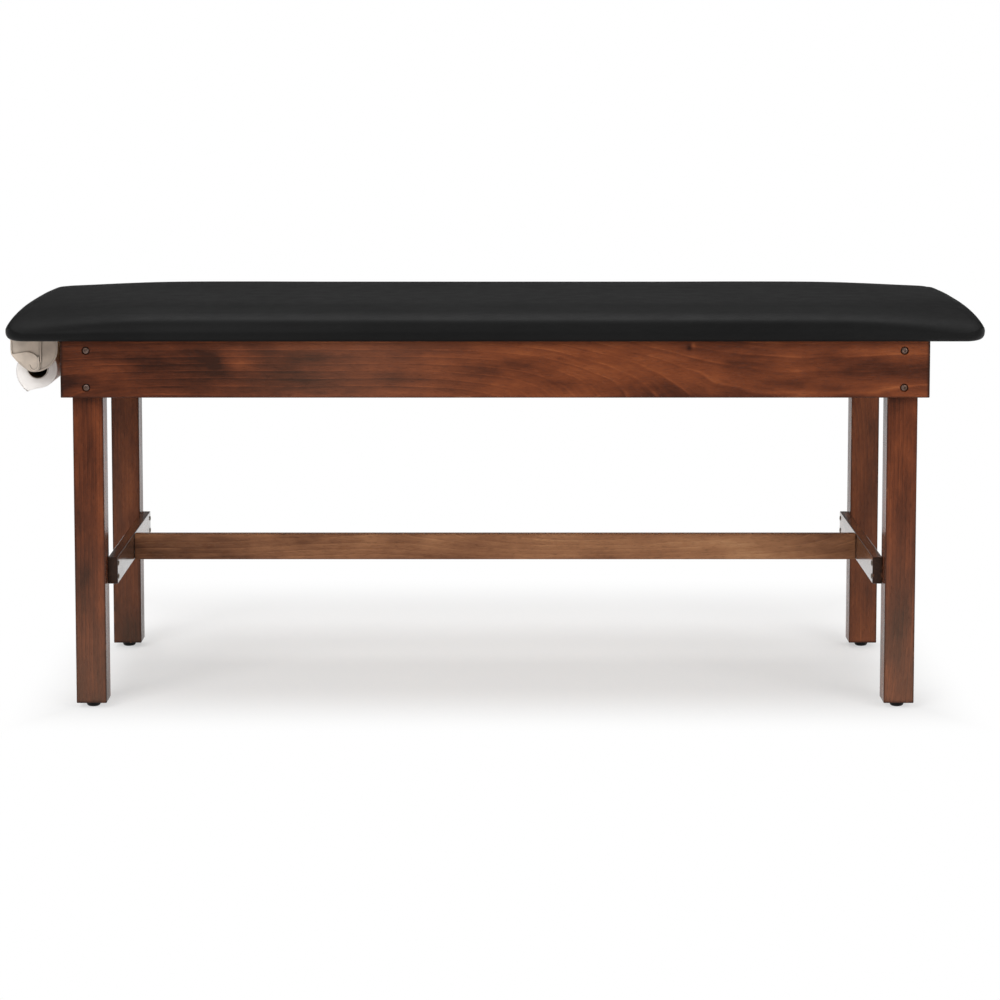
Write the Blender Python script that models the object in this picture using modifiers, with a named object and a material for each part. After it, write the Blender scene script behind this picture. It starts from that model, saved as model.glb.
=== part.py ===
"""Examination table.

A padded vinyl top on a bolted hardwood frame with an H-shaped brace, and a roll of
examination paper on a rod in two moulded brackets under the head end.
Metres, +Z up. +X runs to the foot end, the front faces -Y, and the origin lies on the
floor under the middle of the table.
"""
import math

import bmesh
import bpy
from mathutils import Matrix, Vector

# Clearance left between pieces that touch
GAP = 0.0003

# Padded top
TOP_LENGTH = 1.829
TOP_WIDTH = 0.686
TOP_CORNER_RADIUS = 0.036
HEM_LEVEL = 0.7037
SHOULDER_HEIGHT = 0.0290
CROWN_HEIGHT = 0.0298
CROWN_REACH_SIDE = 0.027
CROWN_REACH_END = 0.025
CROWN_FALL_END = 0.55
CORNER_DROOP = 0.0140
DROOP_REACH_END = 0.160
DROOP_REACH_SIDE = 0.120
DROOP_ON_RIM = 0.5
CAGE_SETTLE = 0.0017
HEM_WIDTH = 0.020
CAGE_LOOP_INSETS = (HEM_WIDTH, 0.080, 0.260)
WIDEST_LEVEL = 0.44
EDGE_TUCK = 0.006
EDGE_LEAN = 0.005
VINYL_THICKNESS = 0.0012
BOARD_THICKNESS = 0.012
BOARD_INSET = 0.0145
BOARD_CORNER_RADIUS = 0.034

# Hardwood frame
TIMBER = 0.019
EASED_EDGE = 0.0015
APRON_TOP = 0.705
APRON_HEIGHT = 0.110
APRON_LENGTH = 1.622
SIDE_OVERHANG = 0.025
LEG_SIZE = 0.057
STRETCHER_TOP = 0.2835
STRETCHER_HEIGHT = 0.051
CROSS_STRETCHER_LENGTH = 0.526
CLEAT_LENGTH = 1.440

# Foot glides
GLIDE_HEIGHT = 0.0105
GLIDE_RADIUS = 0.014
GLIDE_FLAT_RADIUS = 0.009
GLIDE_LIP = 0.0008
GLIDE_DOME_SHARE = 0.8
NAIL_RADIUS = 0.0015
NAIL_LENGTH = 0.018

# Fasteners: head radius, head height, shank radius, length under the head
APRON_BOLT = (0.0070, 0.0050, 0.0040, 0.0790)
BRACE_SCREW = (0.0050, 0.0028, 0.0022, 0.0420)
BRACE_BOLT = (0.0065, 0.0040, 0.0030, 0.0700)
TOP_SCREW = (0.0042, 0.0026, 0.0020, 0.0270)
BRACKET_SCREW = (0.0040, 0.0024, 0.0018, 0.0145)
BOLT_RECESS = 0.0062
BOLT_DROP = 0.0217
BOLT_SPACING = 0.0695
SOCKET_RADIUS = 0.0036
SOCKET_DEPTH = 0.0028
NUT_RADIUS = 0.0075
NUT_HEIGHT = 0.0065
BRACE_SCREW_SPACING = 0.025
LAP_SCREW_INSET = 0.011
BOLT_FACETS = 16
SCREW_FACETS = 10

# Paper roll and its brackets, whose slots rise outwards from the rod's seat
SEAT_X = -0.8673
SEAT_Z = 0.6496
SLOT_RISE = math.radians(12.5)
SEAT_RADIUS = 0.0084
ROOF_RADIUS = 0.0224
ROOF_FALL = math.radians(10.0)
BRACKET_RADIUS = 0.0445
BRACKET_BOTTOM = 0.0122
BRACKET_TOP = 0.7033
MOUTH_ANGLE = math.radians(227.3)
MOUTH_DISTANCE = 0.0404
MOUTH_RADIUS = 0.0960
PLATE_FACE = 0.2650
PLATE_THICKNESS = 0.0035
PLATE_INSET = 0.0010
RIM_WIDTH = 0.0024
RIM_HEIGHT = 0.0024
TRACK_WALL = 0.0034
TRACK_HEIGHT = 0.0040
GUIDE_HEIGHT = 0.0040
TRACK_SETBACK = 0.0004
SLOT_FLOOR = -0.0005
SLOT_RUN_OUT = 0.006
RIDGE_HALF_WIDTH = 0.0013
RIDGE_HEIGHT = 0.0020
RIDGE_ARM = 0.0170
RIDGE_START = math.radians(172.0)
RIB_WIDTH = 0.0026
RIB_FOOT = 0.0060
UNION_LAP = 0.0010
FLANGE_DEPTH = 0.0250
FLANGE_THICKNESS = 0.0055
FLANGE_OUTBOARD = 0.0205
FLANGE_INBOARD = 0.0449
BRACKET_SCREW_REACH = 0.0150
BRACKET_SCREW_SPOTS = (("outboard", -0.010), ("inboard", 0.034))
ROD_RADIUS = 0.0080
ROD_LENGTH = 0.5296
ROD_CHAMFER = 0.0010
ROD_FACETS = 24
CORE_BORE_RADIUS = 0.0183
CORE_WALL = 0.0020
CORE_LENGTH = 0.4590
CORE_FACETS = 28
ROLL_RADIUS = 0.0377
ROLL_LENGTH = 0.4570
ROLL_FACETS = 40
TAIL_THICKNESS = 0.0006
TAIL_START = math.radians(140.0)
TAIL_TIP_FRONT = math.radians(246.5)
TAIL_TIP_REAR = math.radians(262.0)
TAIL_TIP_RADIUS = 0.0478
TAIL_CELLS_ALONG = 18
TAIL_CELLS_ACROSS = 4

for old in list(bpy.data.objects):
    bpy.data.objects.remove(old, do_unlink=True)


# Scene helpers

def new_collection(name):
    collection = bpy.data.collections.new(name)
    bpy.context.scene.collection.children.link(collection)
    return collection


PARTS = new_collection("examination_table")
CUTTERS = new_collection("cutters")


def new_material(name, srgb, roughness, metallic=0.0):
    """Principled material from an sRGB colour in 0 to 255."""
    material = bpy.data.materials.new(name)
    material.use_nodes = True
    shader = material.node_tree.nodes["Principled BSDF"]
    linear = [((channel / 255 + 0.055) / 1.055) ** 2.4 for channel in srgb]
    shader.inputs["Base Color"].default_value = (*linear, 1.0)
    shader.inputs["Roughness"].default_value = roughness
    shader.inputs["Metallic"].default_value = metallic
    return material


WALNUT = new_material("stained_hardwood", (104, 62, 44), 0.38)
PLYWOOD = new_material("plywood", (196, 162, 118), 0.6)
FOAM = new_material("foam", (224, 212, 178), 0.9)
VINYL = new_material("black_vinyl", (34, 34, 34), 0.42)
STEEL = new_material("zinc_steel", (150, 146, 140), 0.35, 1.0)
GLIDE_PLASTIC = new_material("black_plastic", (14, 14, 14), 0.45)
BRACKET_PLASTIC = new_material("beige_plastic", (168, 156, 144), 0.5)
DOWEL = new_material("pale_dowel", (206, 176, 132), 0.55)
CARDBOARD = new_material("cardboard", (150, 118, 86), 0.85)
PAPER = new_material("white_paper", (236, 232, 228), 0.8)


def add_object(name, mesh, collection, location=(0, 0, 0), rotation=(0, 0, 0)):
    obj = bpy.data.objects.new(name, mesh)
    obj.location = location
    obj.rotation_euler = rotation
    collection.objects.link(obj)
    if collection is CUTTERS:
        obj.hide_render = True
        obj.display_type = "WIRE"
    return obj


def finish_part(obj, material):
    obj.data.materials.append(material)
    return obj


def boolean(obj, other, operation="DIFFERENCE"):
    modifier = obj.modifiers.new(other.name, "BOOLEAN")
    modifier.operation = operation
    modifier.solver = "EXACT"
    modifier.object = other


def box_mesh(name, size):
    mesh = bpy.data.meshes.new(name)
    bm = bmesh.new()
    bmesh.ops.create_cube(bm, size=1.0, matrix=Matrix.Diagonal((*size, 1.0)))
    bm.to_mesh(mesh)
    bm.free()
    return mesh


def turned(name, profile, steps, collection, location=(0, 0, 0), rotation=(0, 0, 0), ring=False):
    """Solid of revolution about local Z from (radius, height) points, outer side downwards.

    A ring's profile closes on itself; any other starts and ends on the axis.
    """
    mesh = bpy.data.meshes.new(name)
    edges = [(i, i + 1) for i in range(len(profile) - 1)]
    if ring:
        edges.append((len(profile) - 1, 0))
    mesh.from_pydata([(radius, 0, height) for radius, height in profile], edges, [])
    obj = add_object(name, mesh, collection, location, rotation)
    screw = obj.modifiers.new("turn", "SCREW")
    screw.steps = steps
    screw.render_steps = steps
    screw.use_merge_vertices = True
    screw.merge_threshold = 0.00001
    return obj


def frozen(obj, name, collection):
    """Evaluated copy of an object as a plain welded mesh; the source object is removed."""
    evaluated = obj.evaluated_get(bpy.context.evaluated_depsgraph_get())
    mesh = bpy.data.meshes.new_from_object(evaluated)
    mesh.name = name
    bm = bmesh.new()
    bm.from_mesh(mesh)
    bmesh.ops.remove_doubles(bm, verts=bm.verts, dist=0.000005)
    bm.to_mesh(mesh)
    bm.free()
    copy = add_object(name, mesh, collection)
    copy.matrix_world = obj.matrix_world.copy()
    bpy.data.objects.remove(obj, do_unlink=True)
    return copy


def outline_prism(name, outlines, low, high, collection, location=(0, 0, 0)):
    """Flat outlines in X and Z, extruded along Y from low to high."""
    curve = bpy.data.curves.new(name + "_outline", "CURVE")
    curve.dimensions = "2D"
    curve.fill_mode = "BOTH"
    curve.extrude = abs(high - low) / 2
    for points in outlines:
        spline = curve.splines.new("POLY")
        spline.points.add(len(points) - 1)
        for target, (x, z) in zip(spline.points, points):
            target.co = (x, z, 0, 1)
        spline.use_cyclic_u = True
    x, y, z = location
    middle = (x, y + (low + high) / 2, z)
    obj = add_object(name + "_outline", curve, collection, middle, (math.pi / 2, 0, 0))
    bpy.context.view_layer.update()
    return frozen(obj, name, collection)


def arc(centre, radius, start, end, count):
    """Points on a circle in the outline plane, from one angle to another."""
    angles = [start + (end - start) * i / count for i in range(count + 1)]
    return [(centre[0] + radius * math.cos(a), centre[1] + radius * math.sin(a)) for a in angles]


# Timber frame

def timber(name, size, location):
    """Sawn board or post with eased edges."""
    obj = finish_part(add_object(name, box_mesh(name, size), PARTS, location), WALNUT)
    bevel = obj.modifiers.new("eased_edges", "BEVEL")
    bevel.width = EASED_EDGE
    bevel.segments = 2
    return obj


APRON_FACE = TOP_WIDTH / 2 - SIDE_OVERHANG
APRON_CENTRE_Z = APRON_TOP - APRON_HEIGHT / 2
LEG_LENGTH = APRON_TOP - GLIDE_HEIGHT
LEG_X = APRON_LENGTH / 2 - TIMBER - GAP - LEG_SIZE / 2
LEG_Y = APRON_FACE - TIMBER - GAP - LEG_SIZE / 2
CROSS_X = LEG_X - LEG_SIZE / 2 - GAP - TIMBER / 2
STRETCHER_Z = STRETCHER_TOP - STRETCHER_HEIGHT / 2
CLEAT_Y = APRON_FACE - TIMBER - GAP - TIMBER / 2
ENDS = (("head", -1), ("foot", 1))
SIDES = (("front", -1), ("rear", 1))

aprons = {}
cleats = {}
for side, sign in SIDES:
    apron_size = (APRON_LENGTH, TIMBER, APRON_HEIGHT)
    apron_place = (0, sign * (APRON_FACE - TIMBER / 2), APRON_CENTRE_Z)
    aprons[side] = timber(side + "_apron", apron_size, apron_place)
    cleat_place = (0, sign * CLEAT_Y, APRON_TOP - TIMBER / 2)
    cleats[side] = timber(side + "_cleat", (CLEAT_LENGTH, TIMBER, TIMBER), cleat_place)

cross_stretchers = {}
for end, sign in ENDS:
    rail_size = (TIMBER, 2 * (APRON_FACE - TIMBER - GAP), APRON_HEIGHT)
    timber(end + "_end_rail", rail_size, (sign * (APRON_LENGTH - TIMBER) / 2, 0, APRON_CENTRE_Z))
    cross_size = (TIMBER, CROSS_STRETCHER_LENGTH, STRETCHER_HEIGHT)
    cross_place = (sign * CROSS_X, 0, STRETCHER_Z)
    cross_stretchers[end] = timber(end + "_cross_stretcher", cross_size, cross_place)

long_size = (2 * (CROSS_X - TIMBER / 2 - GAP), TIMBER, STRETCHER_HEIGHT)
long_stretcher = timber("long_stretcher", long_size, (0, 0, STRETCHER_Z))

legs = {}
for end, x_sign in ENDS:
    for side, y_sign in SIDES:
        leg_place = (x_sign * LEG_X, y_sign * LEG_Y, GLIDE_HEIGHT + LEG_LENGTH / 2)
        legs[end, side] = timber(f"{side}_{end}_leg", (LEG_SIZE, LEG_SIZE, LEG_LENGTH), leg_place)


# Fasteners, each with the hole that it needs

QUARTER_TURN = [i * math.pi / 6 for i in range(4)]


def screw_profile(head_radius, head_height, shank_radius, length):
    """Low domed head over a plain shank with a tapered tip; height 0 is under the head."""
    dome = [(head_radius * math.sin(a), head_height * math.cos(a)) for a in QUARTER_TURN]
    tip = length - 2 * shank_radius
    return dome + [(head_radius, 0), (shank_radius, 0), (shank_radius, -tip), (0, -length)]


def cap_profile(head_radius, head_height, shank_radius, length):
    """Cylindrical cap head with a chamfered rim over a plain shank."""
    chamfer = 0.1 * head_radius
    crown = [(0, head_height), (head_radius - chamfer, head_height)]
    head = crown + [(head_radius, head_height - chamfer)]
    return head + [(head_radius, 0), (shank_radius, 0), (shank_radius, -length), (0, -length)]


def drive(name, spec, profile, steps, location, rotation, through, recessed=False):
    """Place a fastener and cut its clearance hole through the pieces that it joins."""
    head_radius, head_height, shank_radius, length = spec
    part = finish_part(turned(name, profile(*spec), steps, PARTS, location, rotation), STEEL)
    bore = shank_radius + GAP
    hole = [(bore, head_height / 2), (bore, -length - GAP)]
    if recessed:
        pocket = head_radius + 3 * GAP
        hole = [(pocket, 4 * head_height), (pocket, -GAP), (bore, -GAP), (bore, -length - GAP)]
    hole = [(0, hole[0][1])] + hole + [(0, -length - GAP)]
    cutter = turned(name + "_hole", hole, steps, CUTTERS, location, rotation)
    for piece in through:
        boolean(piece, cutter)
    return part


def hex_prism(name, radius, height, location, rotation, collection):
    mesh = bpy.data.meshes.new(name)
    bm = bmesh.new()
    bmesh.ops.create_cone(bm, cap_ends=True, segments=6, radius1=radius, radius2=radius, depth=height)
    bm.to_mesh(mesh)
    bm.free()
    return add_object(name, mesh, collection, location, rotation)


DRIVE_ALONG_Y = {-1: (math.pi / 2, 0, 0), 1: (-math.pi / 2, 0, 0)}
DRIVE_ALONG_X = {-1: (0, math.pi / 2, 0), 1: (0, -math.pi / 2, 0)}
DRIVE_UP = (math.pi, 0, 0)
UPPER_BOLT_Z = APRON_TOP - BOLT_DROP
BOLT_LEVELS = (("upper", UPPER_BOLT_Z), ("lower", UPPER_BOLT_Z - BOLT_SPACING))
LOWER_SCREW_Z = STRETCHER_Z - BRACE_SCREW_SPACING / 2
SCREW_LEVELS = (("upper", LOWER_SCREW_Z + BRACE_SCREW_SPACING), ("lower", LOWER_SCREW_Z))

for (end, side), leg in legs.items():
    x_sign = dict(ENDS)[end]
    y_sign = dict(SIDES)[side]
    # Two bolts through apron and leg, with a nut on the leg's inner face
    for level, z in BOLT_LEVELS:
        name = f"{side}_{end}_{level}"
        turn = DRIVE_ALONG_Y[y_sign]
        bolt_x = x_sign * LEG_X
        head_base = y_sign * (APRON_FACE - BOLT_RECESS)
        bolt = drive(name + "_bolt", APRON_BOLT, cap_profile, BOLT_FACETS, (bolt_x, head_base, z), turn,
                     (aprons[side], leg), recessed=True)
        socket_place = (bolt_x, head_base + y_sign * APRON_BOLT[1], z)
        socket = hex_prism(name + "_socket", SOCKET_RADIUS, 2 * SOCKET_DEPTH, socket_place, turn, CUTTERS)
        boolean(bolt, socket)
        nut_place = (bolt_x, y_sign * (LEG_Y - LEG_SIZE / 2 - GAP - NUT_HEIGHT / 2), z)
        nut = hex_prism(name + "_nut", NUT_RADIUS, NUT_HEIGHT, nut_place, turn, PARTS)
        finish_part(nut, STEEL)
        boolean(nut, bpy.data.objects[name + "_bolt_hole"])
    # Two screws through the end of the cross stretcher into the leg's inner face
    for level, z in SCREW_LEVELS:
        screw_x = x_sign * (CROSS_X - TIMBER / 2 - GAP)
        screw_y = y_sign * (LEG_Y - LEG_SIZE / 2 + LAP_SCREW_INSET)
        drive(f"{side}_{end}_{level}_brace_screw", BRACE_SCREW, screw_profile, SCREW_FACETS,
              (screw_x, screw_y, z), DRIVE_ALONG_X[x_sign], (cross_stretchers[end], leg))

# One long bolt through each cross stretcher into the end of the long stretcher
for end, sign in ENDS:
    head_place = (sign * (CROSS_X + TIMBER / 2 + GAP), 0, STRETCHER_Z)
    drive(end + "_brace_bolt", BRACE_BOLT, cap_profile, BOLT_FACETS, head_place, DRIVE_ALONG_X[-sign],
          (cross_stretchers[end], long_stretcher))


# Foot glides: domed plastic discs on a nail

def glide_profile():
    shoulder = GLIDE_HEIGHT - GAP
    side_width = GLIDE_RADIUS - GLIDE_FLAT_RADIUS
    dome_height = shoulder * GLIDE_DOME_SHARE
    dome = [(GLIDE_FLAT_RADIUS + side_width * math.cos(a), dome_height * (1 - math.sin(a)))
            for a in QUARTER_TURN]
    nail_top = shoulder + NAIL_LENGTH
    nail = [(0, nail_top), (NAIL_RADIUS, nail_top - 2 * NAIL_RADIUS), (NAIL_RADIUS, shoulder)]
    return nail + [(GLIDE_RADIUS - GLIDE_LIP, shoulder)] + dome + [(0, 0)]


NAIL_HOLE = NAIL_RADIUS + GAP
NAIL_HOLE_TOP = GLIDE_HEIGHT + NAIL_LENGTH + GAP
for (end, side), leg in legs.items():
    place = (dict(ENDS)[end] * LEG_X, dict(SIDES)[side] * LEG_Y, 0)
    finish_part(turned(f"{side}_{end}_glide", glide_profile(), BOLT_FACETS, PARTS, place), GLIDE_PLASTIC)
    hole = [(0, NAIL_HOLE_TOP), (NAIL_HOLE, NAIL_HOLE_TOP), (NAIL_HOLE, 0), (0, 0)]
    boolean(leg, turned(f"{side}_{end}_nail_hole", hole, SCREW_FACETS, CUTTERS, place))


# Padded top: plywood board, crowned foam and a vinyl cover turned under the board

BOARD_BASE = APRON_TOP + GAP
BOARD_TOP = BOARD_BASE + BOARD_THICKNESS
ON_RIM = 0.001


def pad_cage(name):
    """Coarse cage of the covered pad: a slab with loops near its edges, tucked and crowned."""
    half_length = TOP_LENGTH / 2 + CAGE_SETTLE
    half_width = TOP_WIDTH / 2 + CAGE_SETTLE
    slab = Matrix.Diagonal((2 * half_length, 2 * half_width, SHOULDER_HEIGHT, 1.0))
    mesh = bpy.data.meshes.new(name)
    bm = bmesh.new()
    bmesh.ops.create_cube(bm, size=1.0, matrix=slab)
    loops = [(0, 0, (WIDEST_LEVEL - 0.5) * SHOULDER_HEIGHT)]
    for sign in (-1, 1):
        loops += [(sign * (half_length - inset), 0, 0) for inset in CAGE_LOOP_INSETS]
        loops += [(0, sign * (half_width - inset), 0) for inset in CAGE_LOOP_INSETS[:2]]
    planes = [(Vector(loop), Vector(loop).normalized()) for loop in loops]
    planes += [(Vector((0, 0, 0)), Vector((1, 0, 0))), (Vector((0, 0, 0)), Vector((0, 1, 0)))]
    for place, normal in planes:
        geometry = bm.verts[:] + bm.edges[:] + bm.faces[:]
        bmesh.ops.bisect_plane(bm, geom=geometry, plane_co=place, plane_no=normal)
    for vert in bm.verts:
        vert.co = pad_point(vert.co, half_length, half_width)
    bm.to_mesh(mesh)
    bm.free()
    return mesh


def pad_point(point, half_length, half_width):
    """Cage point moved to the pad's form.

    Corners are drawn in on the plan's corner radius. The bottom edge is tucked in, the top
    edge leans in, and the top swells with 1 - exp(-distance / reach) from the sides, and from
    the ends with a part of that fall. Near the corners it is drawn down, by
    exp(-(distance / reach)²) from both edges.
    """
    x, y, z = point
    end_inset = half_length - abs(x)
    side_inset = half_width - abs(y)
    on_rim = min(end_inset, side_inset) < ON_RIM
    if max(end_inset, side_inset) < ON_RIM:
        draw = TOP_CORNER_RADIUS * (1 - math.sqrt(0.5))
        x -= math.copysign(draw, x)
        y -= math.copysign(draw, y)
    if on_rim and abs(z) > 0.4 * SHOULDER_HEIGHT:
        tuck = EDGE_TUCK if z < 0 else EDGE_LEAN
        x -= math.copysign(tuck, x) if end_inset < ON_RIM else 0.0
        y -= math.copysign(tuck, y) if side_inset < ON_RIM else 0.0
    height = HEM_LEVEL + z + SHOULDER_HEIGHT / 2
    if z > 0:
        rise_end = 1 - CROWN_FALL_END * math.exp(-max(end_inset, 0.0) / CROWN_REACH_END)
        rise_side = 1 - math.exp(-max(side_inset, 0.0) / CROWN_REACH_SIDE)
        near_corner = (end_inset / DROOP_REACH_END) ** 2 + (side_inset / DROOP_REACH_SIDE) ** 2
        droop = CORNER_DROOP * math.exp(-near_corner) * (DROOP_ON_RIM if on_rim else 1.0)
        height += CROWN_HEIGHT * rise_end * rise_side - droop
    return Vector((x, y, height))


def subdivide(obj):
    subsurf = obj.modifiers.new("soft_form", "SUBSURF")
    subsurf.levels = 1
    subsurf.render_levels = 1


def vinyl_cover():
    """Cover as an open skin with a hem under the board, thickened inwards."""
    mesh = pad_cage("vinyl_cover")
    bm = bmesh.new()
    bm.from_mesh(mesh)
    open_length = TOP_LENGTH / 2 - HEM_WIDTH
    open_width = TOP_WIDTH / 2 - HEM_WIDTH
    middles = [(face, face.calc_center_median()) for face in bm.faces if face.normal.z < -0.9]
    under = [face for face, at in middles if abs(at.x) < open_length and abs(at.y) < open_width]
    bmesh.ops.delete(bm, geom=under, context="FACES")
    bm.to_mesh(mesh)
    bm.free()
    obj = finish_part(add_object("vinyl_cover", mesh, PARTS), VINYL)
    subdivide(obj)
    wall = obj.modifiers.new("vinyl", "SOLIDIFY")
    wall.thickness = VINYL_THICKNESS
    wall.offset = -1.0


def foam_pad():
    """Foam that fills the cover above the board."""
    obj = finish_part(add_object("foam_pad", pad_cage("foam_pad"), PARTS), FOAM)
    subdivide(obj)
    shrink = obj.modifiers.new("inside_cover", "DISPLACE")
    shrink.strength = -(VINYL_THICKNESS + 2 * GAP)
    shrink.mid_level = 0.0
    room_height = 4 * SHOULDER_HEIGHT
    room_mesh = box_mesh("foam_room", (2 * TOP_LENGTH, 2 * TOP_WIDTH, room_height))
    room = add_object("foam_room", room_mesh, CUTTERS, (0, 0, BOARD_TOP + GAP + room_height / 2))
    boolean(obj, room, "INTERSECT")


def top_board():
    corner_x = TOP_LENGTH / 2 - BOARD_INSET - BOARD_CORNER_RADIUS
    corner_y = TOP_WIDTH / 2 - BOARD_INSET - BOARD_CORNER_RADIUS
    outline = []
    for turn, (x_sign, y_sign) in enumerate(((1, 1), (-1, 1), (-1, -1), (1, -1))):
        start = turn * math.pi / 2
        corner = (x_sign * corner_x, y_sign * corner_y)
        outline += arc(corner, BOARD_CORNER_RADIUS, start, start + math.pi / 2, 5)
    board = outline_prism("top_board", [outline], -BOARD_THICKNESS / 2, BOARD_THICKNESS / 2, PARTS)
    board.rotation_euler = (0, 0, 0)
    board.location = (0, 0, BOARD_BASE + BOARD_THICKNESS / 2)
    return finish_part(board, PLYWOOD)


vinyl_cover()
foam_pad()
board = top_board()
for side, y_sign in SIDES:
    for end, x_sign in ENDS:
        screw_place = (x_sign * CLEAT_LENGTH / 3, y_sign * CLEAT_Y, APRON_TOP - TIMBER - GAP)
        drive(f"{side}_{end}_top_screw", TOP_SCREW, screw_profile, SCREW_FACETS, screw_place, DRIVE_UP,
              (cleats[side], board))


# Moulded roll brackets

PLATE_CENTRE = BRACKET_RADIUS - BRACKET_BOTTOM
MOUTH_APART = MOUTH_RADIUS - MOUTH_DISTANCE
MOUTH_CENTRE = (-MOUTH_APART * math.cos(MOUTH_ANGLE), PLATE_CENTRE - MOUTH_APART * math.sin(MOUTH_ANGLE))


def plate_outline(inset):
    """D-shaped plate about the rod's seat, whose lower outboard side is a flatter arc for the mouth."""
    radius = BRACKET_RADIUS - inset
    mouth_radius = MOUTH_RADIUS - inset
    centre = (0, PLATE_CENTRE)
    top = BRACKET_TOP - SEAT_Z - inset
    spread = (mouth_radius ** 2 - radius ** 2 - MOUTH_APART ** 2) / (2 * radius * MOUTH_APART)
    half_cut = math.acos(spread)
    half_mouth = math.asin(radius * math.sin(half_cut) / mouth_radius)
    lower_left = arc(centre, radius, math.pi, MOUTH_ANGLE - half_cut, 4)
    mouth = arc(MOUTH_CENTRE, mouth_radius, MOUTH_ANGLE - half_mouth, MOUTH_ANGLE + half_mouth, 6)
    lower_right = arc(centre, radius, MOUTH_ANGLE + half_cut, 2 * math.pi, 14)
    return [(-radius, top)] + lower_left + mouth[1:-1] + lower_right + [(radius, top)]


def to_mouth(start, direction, beyond):
    """Where a line from start meets the mouth's arc, moved out by beyond."""
    away = (start[0] - MOUTH_CENTRE[0], start[1] - MOUTH_CENTRE[1])
    along = away[0] * direction[0] + away[1] * direction[1]
    reach = MOUTH_RADIUS + beyond
    step = math.sqrt(along ** 2 + reach ** 2 - away[0] ** 2 - away[1] ** 2) - along
    return (start[0] + step * direction[0], start[1] + step * direction[1])


def slot_outline(grow, beyond):
    """Funnel of the rod's slot: sloped floor, round seat, arched roof and an open mouth."""
    floor_angle = 1.5 * math.pi - SLOT_RISE
    seat = arc((0, 0), SEAT_RADIUS + grow, floor_angle, 2 * math.pi, 8)
    roof_centre = (SEAT_RADIUS - ROOF_RADIUS, 0)
    roof = arc(roof_centre, ROOF_RADIUS + grow, 0, math.pi / 2 + ROOF_FALL, 9)[1:]
    floor_lip = to_mouth(seat[0], (-math.cos(SLOT_RISE), math.sin(SLOT_RISE)), beyond)
    roof_lip = to_mouth(roof[-1], (-math.cos(ROOF_FALL), -math.sin(ROOF_FALL)), beyond)
    return [floor_lip] + seat + roof + [roof_lip]


def seat_ridge_outline():
    """U-shaped ridge round the seat, with a short outboard arm and a long inboard one."""
    near = SEAT_RADIUS - RIDGE_HALF_WIDTH
    far = SEAT_RADIUS + RIDGE_HALF_WIDTH
    inner = arc((0, 0), near, RIDGE_START, 2 * math.pi, 9)
    outer = arc((0, 0), far, 2 * math.pi, RIDGE_START, 9)
    return inner + [(near, RIDGE_ARM), (far, RIDGE_ARM)] + outer


def oblong(left, right, low, high):
    return [(left, low), (right, low), (right, high), (left, high)]


def roll_bracket(side, sign):
    """One bracket about its seat; depths run inwards from the plate's outer face."""
    seat = (SEAT_X, sign * PLATE_FACE, SEAT_Z)
    inner_face = PLATE_THICKNESS + GAP
    rib_left = SEAT_RADIUS + TRACK_WALL - UNION_LAP
    rib_top = BRACKET_TOP - SEAT_Z - PLATE_INSET
    flange_top = APRON_TOP - SEAT_Z
    rim = [plate_outline(0.0), plate_outline(RIM_WIDTH)]
    track = [slot_outline(TRACK_WALL, -TRACK_SETBACK)]
    rib = [oblong(rib_left, rib_left + RIB_WIDTH, RIB_FOOT, rib_top)]
    flange = [oblong(-FLANGE_OUTBOARD, FLANGE_INBOARD, flange_top - FLANGE_THICKNESS, flange_top)]
    raised = (
        ("rim", rim, -RIM_HEIGHT, inner_face),
        ("track", track, -TRACK_HEIGHT, PLATE_THICKNESS + GUIDE_HEIGHT),
        ("ridge", [seat_ridge_outline()], -TRACK_HEIGHT - RIDGE_HEIGHT, UNION_LAP - TRACK_HEIGHT),
        ("rib", rib, UNION_LAP / 2 - TRACK_HEIGHT, UNION_LAP),
        ("flange", flange, -FLANGE_DEPTH, inner_face + GAP),
    )

    def layer(name, outlines, low, high, collection=CUTTERS):
        return outline_prism(f"{side}_{name}", outlines, -sign * low, -sign * high, collection, seat)

    bracket = layer("roll_bracket", [plate_outline(PLATE_INSET)], 0.0, PLATE_THICKNESS, PARTS)
    finish_part(bracket, BRACKET_PLASTIC)
    for name, outlines, low, high in raised:
        boolean(bracket, layer("bracket_" + name, outlines, low, high), "UNION")
    slot_end = PLATE_THICKNESS + 2 * GUIDE_HEIGHT
    boolean(bracket, layer("bracket_slot", [slot_outline(0.0, SLOT_RUN_OUT)], SLOT_FLOOR, slot_end))
    screw_y = sign * (PLATE_FACE + BRACKET_SCREW_REACH)
    for place, offset in BRACKET_SCREW_SPOTS:
        head_place = (SEAT_X + offset, screw_y, APRON_TOP - FLANGE_THICKNESS - GAP)
        drive(f"{side}_{place}_bracket_screw", BRACKET_SCREW, screw_profile, SCREW_FACETS, head_place,
              DRIVE_UP, (bracket, board))


for side, sign in SIDES:
    roll_bracket(side, sign)


# Rod, core and paper roll; the core hangs on the rod

AXIS_ALONG_Y = (math.pi / 2, 0, 0)


def ring_profile(bore, radius, length):
    half = length / 2
    return [(bore, half), (radius, half), (radius, -half), (bore, -half)]


half_rod = ROD_LENGTH / 2
rod_end = ROD_RADIUS - ROD_CHAMFER
rod_side = half_rod - ROD_CHAMFER
rod_profile = [(0, half_rod), (rod_end, half_rod), (ROD_RADIUS, rod_side),
               (ROD_RADIUS, -rod_side), (rod_end, -half_rod), (0, -half_rod)]
rod = turned("roll_rod", rod_profile, ROD_FACETS, PARTS, (SEAT_X, 0, SEAT_Z), AXIS_ALONG_Y)
finish_part(rod, DOWEL)

HANG = CORE_BORE_RADIUS - ROD_RADIUS - GAP
spin_axis = add_object("roll_spin_axis", None, PARTS, (SEAT_X, 0, SEAT_Z - HANG))
bpy.context.view_layer.update()

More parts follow.
